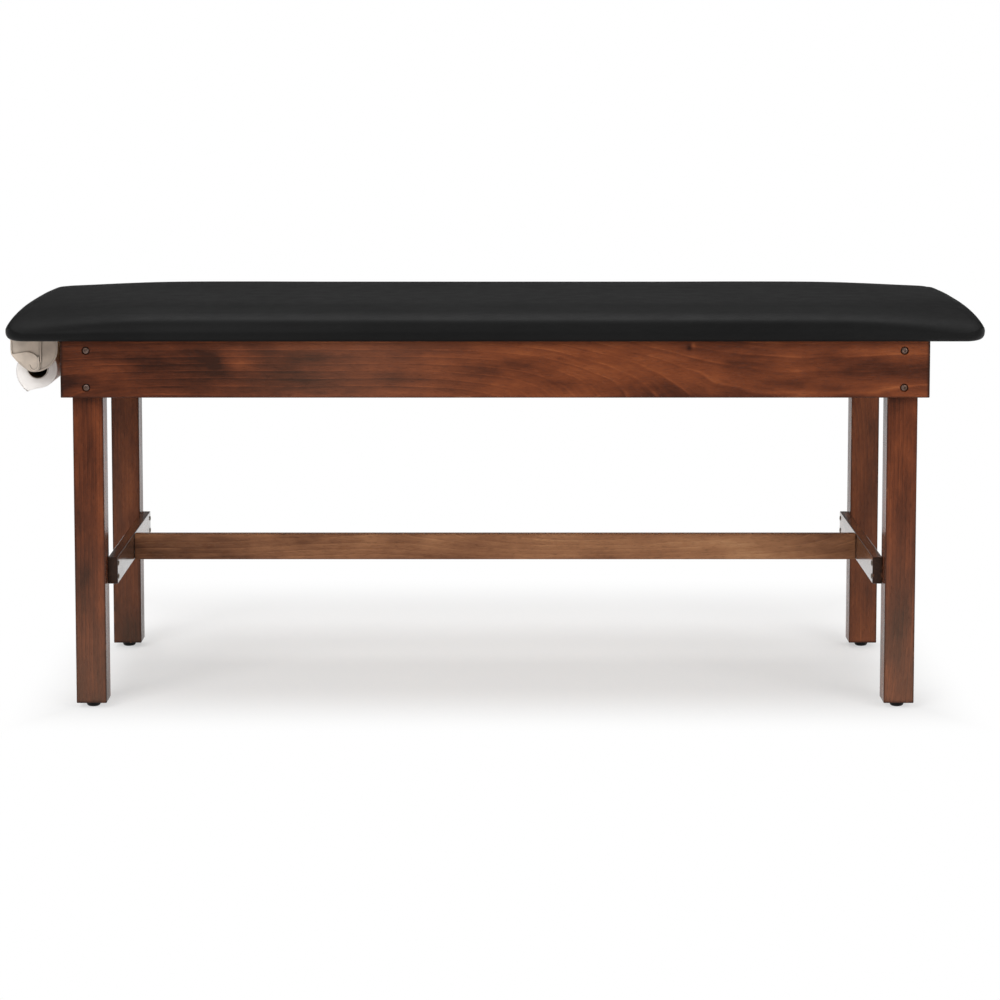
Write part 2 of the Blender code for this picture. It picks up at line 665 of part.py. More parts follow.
core_radius = CORE_BORE_RADIUS + CORE_WALL
core_profile = ring_profile(CORE_BORE_RADIUS, core_radius, CORE_LENGTH)
roll_profile = ring_profile(core_radius + GAP, ROLL_RADIUS, ROLL_LENGTH)
core = turned("paper_core", core_profile, CORE_FACETS, PARTS, rotation=AXIS_ALONG_Y, ring=True)
roll = turned("paper_roll", roll_profile, ROLL_FACETS, PARTS, rotation=AXIS_ALONG_Y, ring=True)
finish_part(core, CARDBOARD)
finish_part(roll, PAPER)


def paper_tail():
    """Loose end of the paper: a sheet that leaves the roll on a growing spiral, cut askew."""
    mesh = bpy.data.meshes.new("paper_tail")
    bm = bmesh.new()
    bmesh.ops.create_grid(bm, x_segments=TAIL_CELLS_ALONG, y_segments=TAIL_CELLS_ACROSS, size=0.5)
    start_radius = ROLL_RADIUS + GAP
    for vert in bm.verts:
        share = vert.co.x + 0.5
        depth = vert.co.y * ROLL_LENGTH
        tip = TAIL_TIP_FRONT + (TAIL_TIP_REAR - TAIL_TIP_FRONT) * (vert.co.y + 0.5)
        angle = TAIL_START + (tip - TAIL_START) * share
        radius = start_radius + (TAIL_TIP_RADIUS - start_radius) * share
        vert.co = (radius * math.cos(angle), depth, radius * math.sin(angle))
    bmesh.ops.recalc_face_normals(bm, faces=bm.faces)
    bm.to_mesh(mesh)
    bm.free()
    obj = finish_part(add_object("paper_tail", mesh, PARTS), PAPER)
    sheet = obj.modifiers.new("paper", "SOLIDIFY")
    sheet.thickness = TAIL_THICKNESS
    sheet.offset = 1.0
    return obj


for piece in (core, roll, paper_tail()):
    piece.parent = spin_axis

for part in PARTS.objects:
    if part.type == "MESH":
        part.data.shade_smooth()
        part.data.set_sharp_from_angle(angle=math.radians(35))
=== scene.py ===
import math

import bmesh
import bpy
import numpy as np
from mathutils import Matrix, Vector


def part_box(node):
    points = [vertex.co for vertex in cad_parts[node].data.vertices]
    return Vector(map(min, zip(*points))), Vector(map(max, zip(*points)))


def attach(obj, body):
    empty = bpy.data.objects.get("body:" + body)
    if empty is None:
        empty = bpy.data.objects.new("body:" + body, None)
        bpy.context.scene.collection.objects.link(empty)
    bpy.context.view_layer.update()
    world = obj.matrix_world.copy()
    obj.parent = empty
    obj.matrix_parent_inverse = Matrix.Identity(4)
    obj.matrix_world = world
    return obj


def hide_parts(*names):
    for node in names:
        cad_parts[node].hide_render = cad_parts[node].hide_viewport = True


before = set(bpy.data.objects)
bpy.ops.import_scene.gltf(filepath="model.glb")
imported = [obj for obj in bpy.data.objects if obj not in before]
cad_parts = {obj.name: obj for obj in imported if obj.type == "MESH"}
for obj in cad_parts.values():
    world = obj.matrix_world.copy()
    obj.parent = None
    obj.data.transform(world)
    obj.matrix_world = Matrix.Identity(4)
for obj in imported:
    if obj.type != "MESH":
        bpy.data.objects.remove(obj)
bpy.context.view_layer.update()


# Legs: square posts of planed hardwood with eased edges, stained walnut brown and lacquered.
# They stand in the corners of the apron frame, and each apron is bolted to them.

def linear(*srgb):
    """Scene colour of an sRGB colour that is given in 0 to 255."""
    share = np.array(srgb) / 255
    return (*np.where(share > 0.04045, ((share + 0.055) / 1.055) ** 2.4, share / 12.92), 1.0)


class Nodes:
    """A tree of shader nodes. A value given to a node is linked if it is a socket, and set if not."""

    def __init__(self, tree):
        self.tree = tree

    def feed(self, node, values):
        for socket, value in values.items():
            if isinstance(value, bpy.types.NodeSocket):
                self.tree.links.new(value, node.inputs[socket])
            else:
                node.inputs[socket].default_value = value

    def node(self, kind, values, out=0, **settings):
        node = self.tree.nodes.new("ShaderNode" + kind)
        for name, value in settings.items():
            setattr(node, name, value)
        self.feed(node, values)
        return node.outputs[out]

    def math(self, operation, first, second=0.0, third=0.0):
        return self.node("Math", {0: first, 1: second, 2: third}, operation=operation)

    def vector(self, operation, first, second):
        return self.node("VectorMath", {0: first, 1: second}, operation=operation)

    def split(self, vector):
        node = self.node("SeparateXYZ", {0: vector}).node
        return dict(zip("XYZ", node.outputs))

    def join(self, x, y=0.0, z=0.0):
        return self.node("CombineXYZ", {0: x, 1: y, 2: z})

    def length(self, x, y):
        """Length of the flat offset x, y."""
        return self.node("VectorMath", {0: self.join(x, y)}, "Value", operation="LENGTH")

    def bell(self, *offsets):
        """Bell that falls from 1 with exp(-distance²), for one to three offsets given in reaches."""
        spread = self.join(*offsets)
        square = self.node("VectorMath", {0: spread, 1: spread}, "Value", operation="DOT_PRODUCT")
        return self.math("EXPONENT", self.math("MULTIPLY", square, -1.0))

    def offset(self, value, middle, reach):
        """Offset of a value from a middle, in reaches."""
        return self.math("DIVIDE", self.math("SUBTRACT", value, middle), reach)

    def sway(self, noise, weight, base):
        """Base that noise moves up or down, by a weight, as it leaves its middle."""
        return self.math("MULTIPLY_ADD", self.math("SUBTRACT", noise, 0.5), weight, base)

    def noise(self, place, stretch, detail=2.0, roughness=0.5):
        """Soft noise from 0 to 1, with stretch cells to the metre, or so many along each axis."""
        cells = self.vector("MULTIPLY", place, np.broadcast_to(stretch, 3))
        values = {"Vector": cells, "Scale": 1.0, "Detail": detail, "Roughness": roughness}
        return self.node("TexNoise", values)

    def span(self, value, low, high, first=0.0, last=1.0):
        """Value carried smoothly from the span low to high onto the span first to last."""
        spans = {"Value": value, "From Min": low, "From Max": high, "To Min": first, "To Max": last}
        return self.node("MapRange", spans, interpolation_type="SMOOTHSTEP")

    def ramp(self, value, stops):
        """Colour ramp through stops of (place, colour)."""
        node = self.node("ValToRGB", {0: value}).node
        elements = node.color_ramp.elements
        elements[0].position, elements[1].position = stops[0][0], stops[-1][0]
        elements[0].color, elements[-1].color = stops[0][1], stops[-1][1]
        for place, colour in stops[1:-1]:
            elements.new(place).color = colour
        return node.outputs[0]

    def tones(self, value, *stops):
        """Colour ramp through stops of (place, sRGB colour)."""
        return self.ramp(value, [(place, linear(*srgb)) for place, srgb in stops])

    def mix(self, share, first, second):
        return self.node("Mix", {0: share, 6: first, 7: second}, 2, data_type="RGBA")

    def tint(self, share, colour, srgb):
        """Colour with a share of an sRGB colour laid over it."""
        return self.mix(share, colour, linear(*srgb))


class Finish(Nodes):
    """A material with a Principled shader, and the place of each point on the piece to work from."""

    def __init__(self, name, shader):
        self.material = bpy.data.materials.new(name)
        self.material.use_nodes = True
        super().__init__(self.material.node_tree)
        self.shader = self.tree.nodes["Principled BSDF"]
        self.place = self.node("TexCoord", {}, "Object")
        self.feed(self.shader, shader)

    def about(self, centre):
        """Offsets of each point from a centre, along X, Y and Z."""
        return self.split(self.vector("SUBTRACT", self.place, centre))

    def facing(self, axis):
        """How squarely the surface faces along an axis, from 0 to 1."""
        return self.math("ABSOLUTE", self.split(self.node("TexCoord", {}, "Normal"))[axis])

    def coat(self, colour, roughness, relief, depth, strength):
        """Set the shader's colour and roughness, and bumps from a relief of some depth."""
        heights = {"Height": relief, "Distance": depth, "Strength": strength}
        normal = self.node("Bump", heights, "Normal")
        self.feed(self.shader, {"Base Color": colour, "Roughness": roughness, "Normal": normal})
        return self


GRAIN_ORDER = {"X": "XZY", "Y": "YZX", "Z": "ZXY"}
RING_STOPS = ((0.0, 0.50), (0.50, 0.38), (0.80, 0.05), (0.89, 0.95), (1.0, 0.50))
STAIN_STOPS = (
    (0.18, (46, 21, 11)),
    (0.36, (82, 40, 22)),
    (0.52, (108, 55, 30)),
    (0.68, (128, 69, 38)),
    (0.86, (152, 89, 51)),
)
PALE_STOPS = (
    (0.18, (60, 38, 26)),
    (0.36, (100, 66, 45)),
    (0.52, (130, 90, 63)),
    (0.68, (150, 108, 76)),
    (0.86, (172, 130, 94)),
)
END_GRAIN_STOPS = ((0.3, (32, 20, 14)), (0.7, (64, 43, 31)))
DUST = (163, 138, 118)
PORES = (38, 20, 14)
SOAKED_AND_SHADED_END = (34, 18, 12)
SOAKED_AND_SHADED_ARRIS = (40, 22, 16)
WORN_ARRIS = (164, 112, 78)
END_BAND = (0.0010, 0.0075)
ARRIS_BAND = (0.0004, 0.0042)
GROWN_STEP = np.array([1.37, 0.71, 0.53])
RINGED_STEP = np.array([0.91, 0.33, 0.47])
RING_DRIFT = 0.022
WELD_REACH = 0.00001
EASED_ANGLE = math.radians(50)


def from_pith(finish, along, across, depth, pith, bow, tilt):
    """Distance from the pith, a line that lies at pith and is tilted along the board.

    It sinks by bow's rise times 1 - exp(-(run / reach)⁴), which leaves it flat for a stretch.
    """
    run = finish.math("SUBTRACT", along, pith[0])
    flat = finish.bell(finish.math("POWER", finish.math("DIVIDE", run, bow[1]), 2.0))
    sweep = finish.math("MULTIPLY_ADD", flat, -bow[0], pith[2] + bow[0])
    sweep = finish.math("ADD", finish.math("MULTIPLY_ADD", run, tilt, sweep), depth)
    return finish.length(sweep, finish.math("SUBTRACT", across, pith[1]))


def edge_wear_and_shade(finish, colour, edges, grain, soak_and_shade, end_grain, grown, cloud):
    """Colour with dark bands at the ends, end grain, and arrises darkened or worn pale; the dark end
    bands and dark arrises are partly stain soaked into the wood and partly painted shade.

    Edges has the distances to the faces along X, Y and Z. On a face, the middle one of the three is
    the distance to the nearest arris.
    """
    # Dark bands near the ends: partly stain soaked into the end, partly painted shade.
    if soak_and_shade[1]:
        colour = finish.tint(finish.span(edges[grain], *END_BAND, soak_and_shade[1], 0.0), colour, SOAKED_AND_SHADED_END)
    end_noise = finish.noise(grown, (40.0, 420.0, 420.0), 3.0)
    colour = finish.mix(end_grain, colour, finish.tones(end_noise, *END_GRAIN_STOPS))
    nearer = finish.math("MINIMUM", edges["X"], edges["Y"])
    farther = finish.math("MAXIMUM", edges["X"], edges["Y"])
    middle = finish.math("MAXIMUM", nearer, finish.math("MINIMUM", farther, edges["Z"]))
    # Dark arrises: partly stain soaked into the eased edges, partly painted shade.
    arris = finish.span(middle, *ARRIS_BAND, soak_and_shade[0], 0.0)
    soaked_and_shaded = finish.math("MULTIPLY", arris, finish.span(cloud, 0.3, 0.7, 0.45, 0.75))
    colour = finish.tint(soaked_and_shaded, colour, SOAKED_AND_SHADED_ARRIS)
    worn = finish.span(finish.noise(grown, (16.0, 60.0, 60.0), 3.0), 0.60, 0.68, 0.0, 0.35)
    return finish.tint(finish.math("MULTIPLY", arris, worn), colour, WORN_ARRIS)


def stained_board(node, grain, seed, tone=0.0, warmth=1.0, pith=(0.0, 0.03, 0.09), bow=(0.03, 0.40),
                  tilt=0.02, rings=0.0075, gloss=(0.22, 0.32), lacquer=0.0, dust=None,
                  soak_and_shade=(1.0, 0.0), patches=()):
    """Walnut stain on one board, in the board's own along, across and depth.

    Growth rings, one to each step of rings, lie round the pith. Over them lie clouds of stain,
    mottling, long fibres and pores. Warmth is the share of the red-brown stain, over a paler
    grey-brown. Soak has the shares by which the colour is darker on the arrises and near the ends,
    in part stain soaked into the wood and in part painted shade. Dust is a pale film with a place
    along, a reach and a share. A patch is a soft bell at a place along and across, with its two
    reaches and how much it lightens the stain; most patches are clouds of stain, a few are painted
    light, and a few are painted shade.
    """
    low, high = (np.array(corner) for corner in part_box(node))
    half = dict(zip("XYZ", (high - low) / 2))
    finish = Finish("walnut_" + node, {"Specular IOR Level": 0.12, "Coat Roughness": 0.12})
    place = finish.about((low + high) / 2)
    along, across, depth = (place[axis] for axis in GRAIN_ORDER[grain])
    grown = finish.vector("ADD", finish.join(along, across, depth), seed * GROWN_STEP)
    stain = finish.noise(grown, (2.6, 9.0, 9.0))
    cloud = finish.noise(grown, (9.0, 38.0, 38.0), 4.0, 0.6)
    drift = finish.noise(grown, (3.0, 14.0, 14.0))
    mottle = finish.noise(grown, (24.0, 52.0, 52.0), 3.0, 0.6)

    wavy_depth = finish.math("MULTIPLY_ADD", drift, RING_DRIFT, depth)
    distance = from_pith(finish, along, across, wavy_depth, pith, bow, tilt)
    ringed = finish.vector("ADD", finish.join(along, distance, depth), seed * RINGED_STEP)
    fibre = finish.noise(ringed, (14.0, 240.0, 60.0), 4.0, 0.6)
    hair = finish.noise(ringed, (30.0, 900.0, 300.0))
    phase = finish.math("FRACT", finish.math("DIVIDE", distance, rings))
    ring = finish.ramp(phase, [(at, (level, level, level, 1)) for at, level in RING_STOPS])
    shown = finish.span(cloud, 0.38, 0.62, 0.25, 1.0)
    figure = finish.math("MULTIPLY", finish.math("SUBTRACT", ring, 0.5), shown)

    shade = finish.math("MULTIPLY_ADD", stain, 1.25, -0.125 + tone)
    for streaks, weight in ((cloud, 0.36), (mottle, 0.26), (fibre, 0.19), (hair, 0.09)):
        shade = finish.sway(streaks, weight, shade)
    shade = finish.math("MULTIPLY_ADD", figure, 0.24, shade)
    wobble = finish.math("SUBTRACT", drift, 0.5)
    # Patches: clouds of stain, with a few of painted light and painted shade.
    for spot, level, length, height, lightens in patches:
        wavy = finish.math("MULTIPLY_ADD", wobble, 2.0, finish.offset(along, spot, length))
        patch_bell = finish.bell(wavy, finish.offset(across, level, height))
        shade = finish.math("MULTIPLY_ADD", patch_bell, lightens, shade)
    colour = finish.tones(shade, *STAIN_STOPS)
    if warmth < 1.0:
        colour = finish.mix(warmth, finish.tones(shade, *PALE_STOPS), colour)
    if dust:
        settled = finish.bell(finish.offset(along, dust[0], dust[1]))
        colour = finish.tint(finish.math("MULTIPLY", settled, dust[2]), colour, DUST)
    pores = finish.span(finish.noise(grown, (70.0, 1500.0, 1500.0), 1.0), 0.60, 0.70)
    colour = finish.tint(finish.math("MULTIPLY", pores, 0.45), colour, PORES)

    edges = {}
    for axis in "XYZ":
        edges[axis] = finish.math("SUBTRACT", half[axis], finish.math("ABSOLUTE", place[axis]))
    end_grain = finish.span(finish.facing(grain), 0.55, 0.9)
    colour = edge_wear_and_shade(finish, colour, edges, grain, soak_and_shade, end_grain, grown, cloud)
    dulled = finish.math("MULTIPLY_ADD", end_grain, 0.25, finish.span(cloud, 0.3, 0.7, *gloss))
    relief = finish.math("MULTIPLY_ADD", hair, 0.35, finish.math("MULTIPLY", fibre, 0.8))
    relief = finish.math("MULTIPLY_ADD", pores, -0.5, relief)
    finish.coat(colour, dulled, relief, 0.00035, 0.45)
    if lacquer:
        glazed = finish.span(end_grain, 0.0, 1.0, lacquer, 0.15 * lacquer)
        finish.feed(finish.shader, {"Coat Weight": glazed})
    dress(node, finish)


def dress(node, finish):
    """Give a frame node its finish, with its loose triangles joined and its eased edges shaded smooth."""
    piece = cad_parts[node]
    piece.data.materials.clear()
    piece.data.materials.append(finish.material)
    piece.data.polygons.foreach_set("use_smooth", np.ones(len(piece.data.polygons), bool))
    weld = piece.modifiers.new("joined", "WELD")
    weld.merge_threshold = WELD_REACH
    split = piece.modifiers.new("sharp_edges", "EDGE_SPLIT")
    split.split_angle = EASED_ANGLE
    piece.modifiers.new("flat_faces", "WEIGHTED_NORMAL")


LEG_SOAK_AND_SHADE = (1.0, 0.5)
# Painted light: the patch at -0.29 along lightens the leg's foot, as light bounced off the floor would.
stained_board("front_head_leg", "Z", 3.1, tone=-0.20, pith=(0.0, 0.055, 0.02), tilt=0.03,
              dust=(-0.36, 0.26, 0.15), soak_and_shade=LEG_SOAK_AND_SHADE,
              patches=((0.00, -0.006, 0.14, 0.040, -0.14), (-0.29, 0.0, 0.08, 0.060, 0.16),
                       (0.20, -0.02, 0.05, 0.012, 0.10), (-0.12, -0.008, 0.07, 0.022, -0.16),
                       (-0.05, 0.021, 0.40, 0.007, 0.12)))
stained_board("front_foot_leg", "Z", 8.7, tone=-0.09, pith=(0.1, -0.070, 0.03), tilt=-0.02,
              dust=(-0.36, 0.28, 0.165), soak_and_shade=LEG_SOAK_AND_SHADE,
              patches=((0.07, 0.0, 0.08, 0.050, 0.08), (-0.24, 0.0, 0.14, 0.060, -0.13)))
stained_board("rear_head_leg", "Z", 14.2, tone=-0.24, pith=(0.0, 0.080, 0.05), tilt=0.02,
              dust=(-0.36, 0.70, 0.10), soak_and_shade=LEG_SOAK_AND_SHADE,
              patches=((-0.20, 0.0, 0.10, 0.060, 0.14),))
stained_board("rear_foot_leg", "Z", 21.9, tone=-0.02, pith=(-0.2, -0.060, 0.04), tilt=0.02,
              dust=(-0.36, 0.90, 0.08), soak_and_shade=LEG_SOAK_AND_SHADE,
              patches=((-0.20, 0.0, 0.14, 0.060, -0.13), (0.20, 0.0, 0.06, 0.060, 0.06)))


# Aprons and end rails: four boards on edge that frame the table under its top, of the same
# stained hardwood. The aprons run along the sides and cover the ends of the two end rails.

FRONT_STAIN_AND_LIGHT_PATCHES = (
    (-0.805, 0.000, 0.020, 0.060, -0.12),
    (-0.760, 0.025, 0.050, 0.025, -0.08),
    (-0.700, -0.030, 0.060, 0.018, 0.09),
    (-0.660, 0.010, 0.120, 0.080, -0.11),
    (-0.580, 0.000, 0.110, 0.060, -0.27),
    (-0.527, 0.012, 0.014, 0.013, -0.22),
    (-0.475, 0.013, 0.038, 0.020, 0.20),
    (-0.430, -0.030, 0.090, 0.025, -0.20),
    (-0.330, -0.015, 0.110, 0.060, -0.22),
    (-0.240, 0.026, 0.090, 0.020, -0.16),
    (-0.180, -0.022, 0.110, 0.016, -0.10),
    (-0.050, 0.030, 0.090, 0.030, 0.10),
    # Painted light: the next patch lightens the apron's top edge under the overhanging pad, to shorten
    # the shadow that the pad casts there.
    (0.120, 0.054, 0.480, 0.015, 0.14),
    (0.130, -0.030, 0.090, 0.025, -0.11),
    (0.270, 0.015, 0.110, 0.030, 0.10),
    (0.362, 0.040, 0.005, 0.007, -0.22),
    (0.370, 0.044, 0.004, 0.005, 0.30),
    (0.480, 0.000, 0.060, 0.020, -0.14),
    (0.480, -0.030, 0.140, 0.035, 0.20),
    (0.660, 0.010, 0.140, 0.060, 0.09),
    (0.690, -0.030, 0.090, 0.025, 0.06),
    (0.690, 0.030, 0.090, 0.010, 0.14),
)
stained_board("front_apron", "X", 5.3, tone=-0.06, pith=(-0.40, -0.065, 0.018), bow=(0.12, 0.62),
              tilt=0.0, rings=0.013, dust=(-0.27, 0.20, 0.065), soak_and_shade=(1.0, 0.85), patches=FRONT_STAIN_AND_LIGHT_PATCHES)
stained_board("rear_apron", "X", 11.8, pith=(0.25, 0.010, 0.022), bow=(0.07, 0.26), tilt=-0.02,
              soak_and_shade=(1.0, 0.75))
stained_board("head_end_rail", "Y", 17.4, tone=-0.03, pith=(0.05, 0.02, 0.025), bow=(0.06, 0.16))
stained_board("foot_end_rail", "Y", 26.1, tone=-0.02, pith=(-0.08, -0.01, 0.022), bow=(0.05, 0.14))


# Foot glides: black moulded discs with a domed underside, each driven into a leg's end with
# the nail that is moulded into it. The table stands on their flats.

MERGE_REACH = 0.0000005
SHARP_ANGLE = math.radians(35)
CORNER_SHADE_REACH = 0.0065


def quads(numbers, close_rows=False, close_columns=False):
    """Four-cornered faces of a grid of point numbers; a closed way joins its last line to its first."""
    if close_rows:
        numbers = np.vstack([numbers, numbers[:1]])
    if close_columns:
        numbers = np.hstack([numbers, numbers[:, :1]])
    corners = [numbers[:-1, :-1], numbers[1:, :-1], numbers[1:, 1:], numbers[:-1, 1:]]
    return np.stack(corners, axis=-1).reshape(-1, 4)


def surface(name, points, close_rows=False, close_columns=False):
    """Mesh object of a grid of points, rows by columns, either way closed or open."""
    numbers = np.arange(points[..., 0].size).reshape(points.shape[:2])
    return skin(name, points.reshape(-1, 3), quads(numbers, close_rows, close_columns))


def skin(name, points, faces):
    """Smooth mesh object of points and four-cornered faces.

    Points that coincide are merged, which closes seams and poles, and a closed skin that
    encloses a negative volume is turned the right way out.
    """
    mesh = bpy.data.meshes.new(name)
    mesh.from_pydata(points, [], faces)
    piece = bpy.data.objects.new(name, mesh)
    bpy.context.scene.collection.objects.link(piece)
    build = bmesh.new()
    build.from_mesh(mesh)
    bmesh.ops.remove_doubles(build, verts=build.verts, dist=MERGE_REACH)
    if build.calc_volume(signed=True) < 0:
        bmesh.ops.reverse_faces(build, faces=build.faces)
    build.to_mesh(mesh)
    build.free()
    mesh.shade_smooth()
    return piece


def full_turn(steps):
    """Angles in equal steps round a full turn."""
    return np.linspace(0, 2 * math.pi, steps, endpoint=False)


def turned(name, radius, height, centre, axis, steps=64, ring=False):
    """Surface of revolution: radius and height, one value or one row of values for each profile point.

    The profile is carried round the axis through centre in equal steps. A ring's profile
    closes on itself, and any other starts and ends on the axis.
    """
    axis = np.array(axis, float)
    aside = np.roll(axis, 1)
    upward = np.cross(axis, aside)
    turn = full_turn(steps)
    spokes = np.cos(turn)[:, None] * aside + np.sin(turn)[:, None] * upward
    radius, height = (np.array(rows, float).reshape(len(rows), -1, 1) for rows in (radius, height))
    points = np.array(centre) + radius * spokes + height * axis
    return surface(name, points, ring, True)


def settle(piece, finish, slot, body, *nodes):
    """Finish a piece and let it ride on a body in place of the frame's nodes; the slot is not used."""
    piece.data.materials.append(finish.material)
    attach(piece, body)
    if nodes:
        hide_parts(*nodes)


def sharp(piece):
    """Keep the sharp edges of a smooth piece crisp."""
    piece.data.set_sharp_from_angle(angle=SHARP_ANGLE)
    return piece


def toned(srgb, share):
    """Scene colour of an sRGB colour with its light scaled by a share, or by one for each channel."""
    return (*np.minimum(np.array(linear(*srgb)[:3]) * share, 1.0), 1.0)


def moulded_plastic(name, srgb, roughness, texture, sheen):
    """Moulded plastic: fine spark-eroded texture, faint flow clouds, and painted shade in the corners and
    creases.
    """
    finish = Finish(name, {"Specular IOR Level": sheen})
    cloud = finish.noise(finish.place, 40.0, 3.0)
    grit = finish.noise(finish.place, texture)
    flow = finish.ramp(cloud, ((0.3, toned(srgb, 0.82)), (0.7, toned(srgb, 1.12))))
    open_air = finish.node("AmbientOcclusion", {"Distance": CORNER_SHADE_REACH}, "AO",
                           samples=8, only_local=True)
    # Painted shade: where ambient occlusion finds the plastic closed in, its colour darkens towards 0.22
    # of itself.
    colour = finish.mix(finish.span(open_air, 0.35, 0.90, 0.75, 0.0), flow, toned(srgb, 0.22))
    dulled = finish.span(cloud, 0.3, 0.7, roughness - 0.07, roughness + 0.07)
    return finish.coat(colour, dulled, grit, 0.0002, 0.35)


CORNERS = [f"{side}_{end}" for side in ("front", "rear") for end in ("head", "foot")]
GLIDE_FLAT = 0.0090
GLIDE_SKIRT = 0.0017
GLIDE_GAP = 0.0003
GLIDE_RIM = ((0.0, 0.0006), (0.0004, 0.0001), (0.0010, 0.0))
NAIL_RADIUS = 0.0015
NAIL_POINT = 0.0030
glide_plastic = moulded_plastic("black_plastic", (13, 13, 13), 0.50, 2500.0, 0.15)
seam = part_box("front_head_leg")[0].z - GLIDE_GAP
rim_in, rim_down = np.array(GLIDE_RIM).T
dome = np.linspace(0, math.pi / 2, 12)

for corner in CORNERS:
    low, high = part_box(corner + "_glide")
    glide_radius = (high.x - low.x) / 2
    dome_radius = GLIDE_FLAT + (glide_radius - GLIDE_FLAT) * np.sin(dome)
    dome_height = (seam - GLIDE_SKIRT) * (1 - np.cos(dome))
    collar = [*(glide_radius - rim_in), NAIL_RADIUS, NAIL_RADIUS, 0.0]
    collar_height = [*(seam - rim_down), seam, high.z - NAIL_POINT, high.z]
    glide = turned("glide_" + corner, np.concatenate([[0.0], dome_radius, collar]),
                   np.concatenate([[0.0], dome_height, collar_height]),
                   ((low.x + high.x) / 2, (low.y + high.y) / 2, 0.0), (0, 0, 1))
    settle(sharp(glide), glide_plastic, "black_plastic", "frame", corner + "_glide")


# Apron bolts and nuts: zinc-plated socket-head bolts, two to a leg, sunk in the apron's
# face. Each passes through apron and leg, and a hexagon nut draws it up on the inside.

def zinc_plate(name, srgb, roughness):
    """Zinc plating: pale grey metal with dull clouds, a hint of yellow and fine handling scratches."""
    finish = Finish(name, {"Metallic": 1.0})
    cloud = finish.noise(finish.place, 90.0, 3.0)
    scratch = finish.noise(finish.place, (300.0, 2600.0, 900.0))
    yellowed = toned(srgb, (0.70, 0.66, 0.58))
    colour = finish.ramp(cloud, ((0.35, yellowed), (0.62, linear(*srgb))))
    dulled = finish.span(scratch, 0.3, 0.7, roughness - 0.08, roughness + 0.12)
    return finish.coat(colour, dulled, scratch, 0.00008, 0.4)


def hexagon(across_flats, steps):
    """Polar radius of a hexagon at equal steps of angle: the distance to the nearest of six flats."""
    turn = full_turn(steps)
    return across_flats / 2 / np.cos((turn + math.pi / 6) % (math.pi / 3) - math.pi / 6)


BOLT_HEAD = (0.0056, 0.0050)
BOLT_SHANK = 0.0040
BOLT_STEPS = 72
HEAD_CHAMFER = 0.0009
EDGE_BREAK = 0.0003
SOCKET_FLATS = 0.0050
SOCKET_DEPTH = 0.0028
SOCKET_POINT = 0.0006
SOCKET_CORNER = 0.0002
SOCKET_FLOOR = 0.94
SOCKET_MOUTH = 1.08
BOLT_TIP = 0.75
THREAD_PITCH = 0.00125
THREAD_DEPTH = 0.0006
THREAD_RUN = 0.014
THREAD_LEAD = 0.001
THREAD_ROWS = 6
NUT_FLATS = 0.0130
NUT_SINK = 0.0008
NUT_CLEAR = 0.0001
NUT_WASHER = 0.0002
zinc = zinc_plate("zinc_steel", (122, 102, 94), 0.44)


def socket_bolt(name, centre, axis, head_radius, head_height, shank, length):
    """Socket-head bolt: hexagon recess, chamfered head, plain shank and a threaded end, along axis.

    On the thread the radius falls and rises once a pitch, and its phase turns with the angle.
    """
    socket = hexagon(SOCKET_FLATS, BOLT_STEPS)
    start = THREAD_RUN - length + THREAD_LEAD
    thread_rows = round(THREAD_ROWS * THREAD_RUN / THREAD_PITCH) + 1
    thread_height = np.linspace(start, start - THREAD_RUN, thread_rows)[:, None]
    turn = np.linspace(0, 1, BOLT_STEPS, endpoint=False)[None, :]
    wave = np.abs(2 * ((thread_height / THREAD_PITCH + turn) % 1.0) - 1)
    sunk = head_height - SOCKET_DEPTH
    profile = [
        (0.0, sunk - SOCKET_POINT),
        (SOCKET_FLOOR * socket, sunk),
        (socket, sunk + SOCKET_CORNER),
        (socket, head_height - EDGE_BREAK),
        (SOCKET_MOUTH * socket, head_height),
        (head_radius - HEAD_CHAMFER, head_height),
        (head_radius - EDGE_BREAK, head_height - EDGE_BREAK),
        (head_radius, head_height - HEAD_CHAMFER),
        (head_radius, 0.0),
        (shank, 0.0),
        (shank, start + THREAD_LEAD),
        (shank - THREAD_DEPTH * wave, thread_height),
        (BOLT_TIP * shank, -length),
        (0.0, -length),
    ]
    around = np.ones((1, BOLT_STEPS))
    radius = np.vstack([reach * around for reach, _ in profile])
    height = np.vstack([level * around for _, level in profile])
    return turned(name, radius, height, centre, axis, BOLT_STEPS)


def hex_nut(name, centre, outward, height):
    """Hexagon nut: flats cut by a cone at both ends, round a countersunk bore."""
    flats = hexagon(NUT_FLATS, BOLT_STEPS)
    corner = NUT_FLATS / math.sqrt(3)
    rise = np.linspace(0, 0.5 * (corner - NUT_FLATS / 2), 4)
    cone = NUT_FLATS / 2 - NUT_WASHER + 2.0 * rise
    bore = np.full(BOLT_STEPS, BOLT_SHANK + NUT_CLEAR)
    half = [bore, bore + NUT_SINK, *np.minimum(flats, cone[:, None])]
    level = np.array([NUT_SINK, 0.0, *rise]) - height / 2
    return turned(name, np.vstack(half + half[::-1]), np.concatenate([level, -level[::-1]]), centre,
                  (0, outward, 0), BOLT_STEPS, ring=True)


def seated(node, axis, outward, head_height):
    """Seat of a fastener under its head, its direction, and its length from the seat.

    The fastener lies along an axis, and its head ends the node's box on the outward side.
    """
    low, high = (np.array(corner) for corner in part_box(node))
    way = np.eye(3)["XYZ".index(axis)]
    length = way @ (high - low)
    seat = (low + high) / 2 + outward * (length / 2 - head_height) * way
    return seat, outward * way, length - head_height


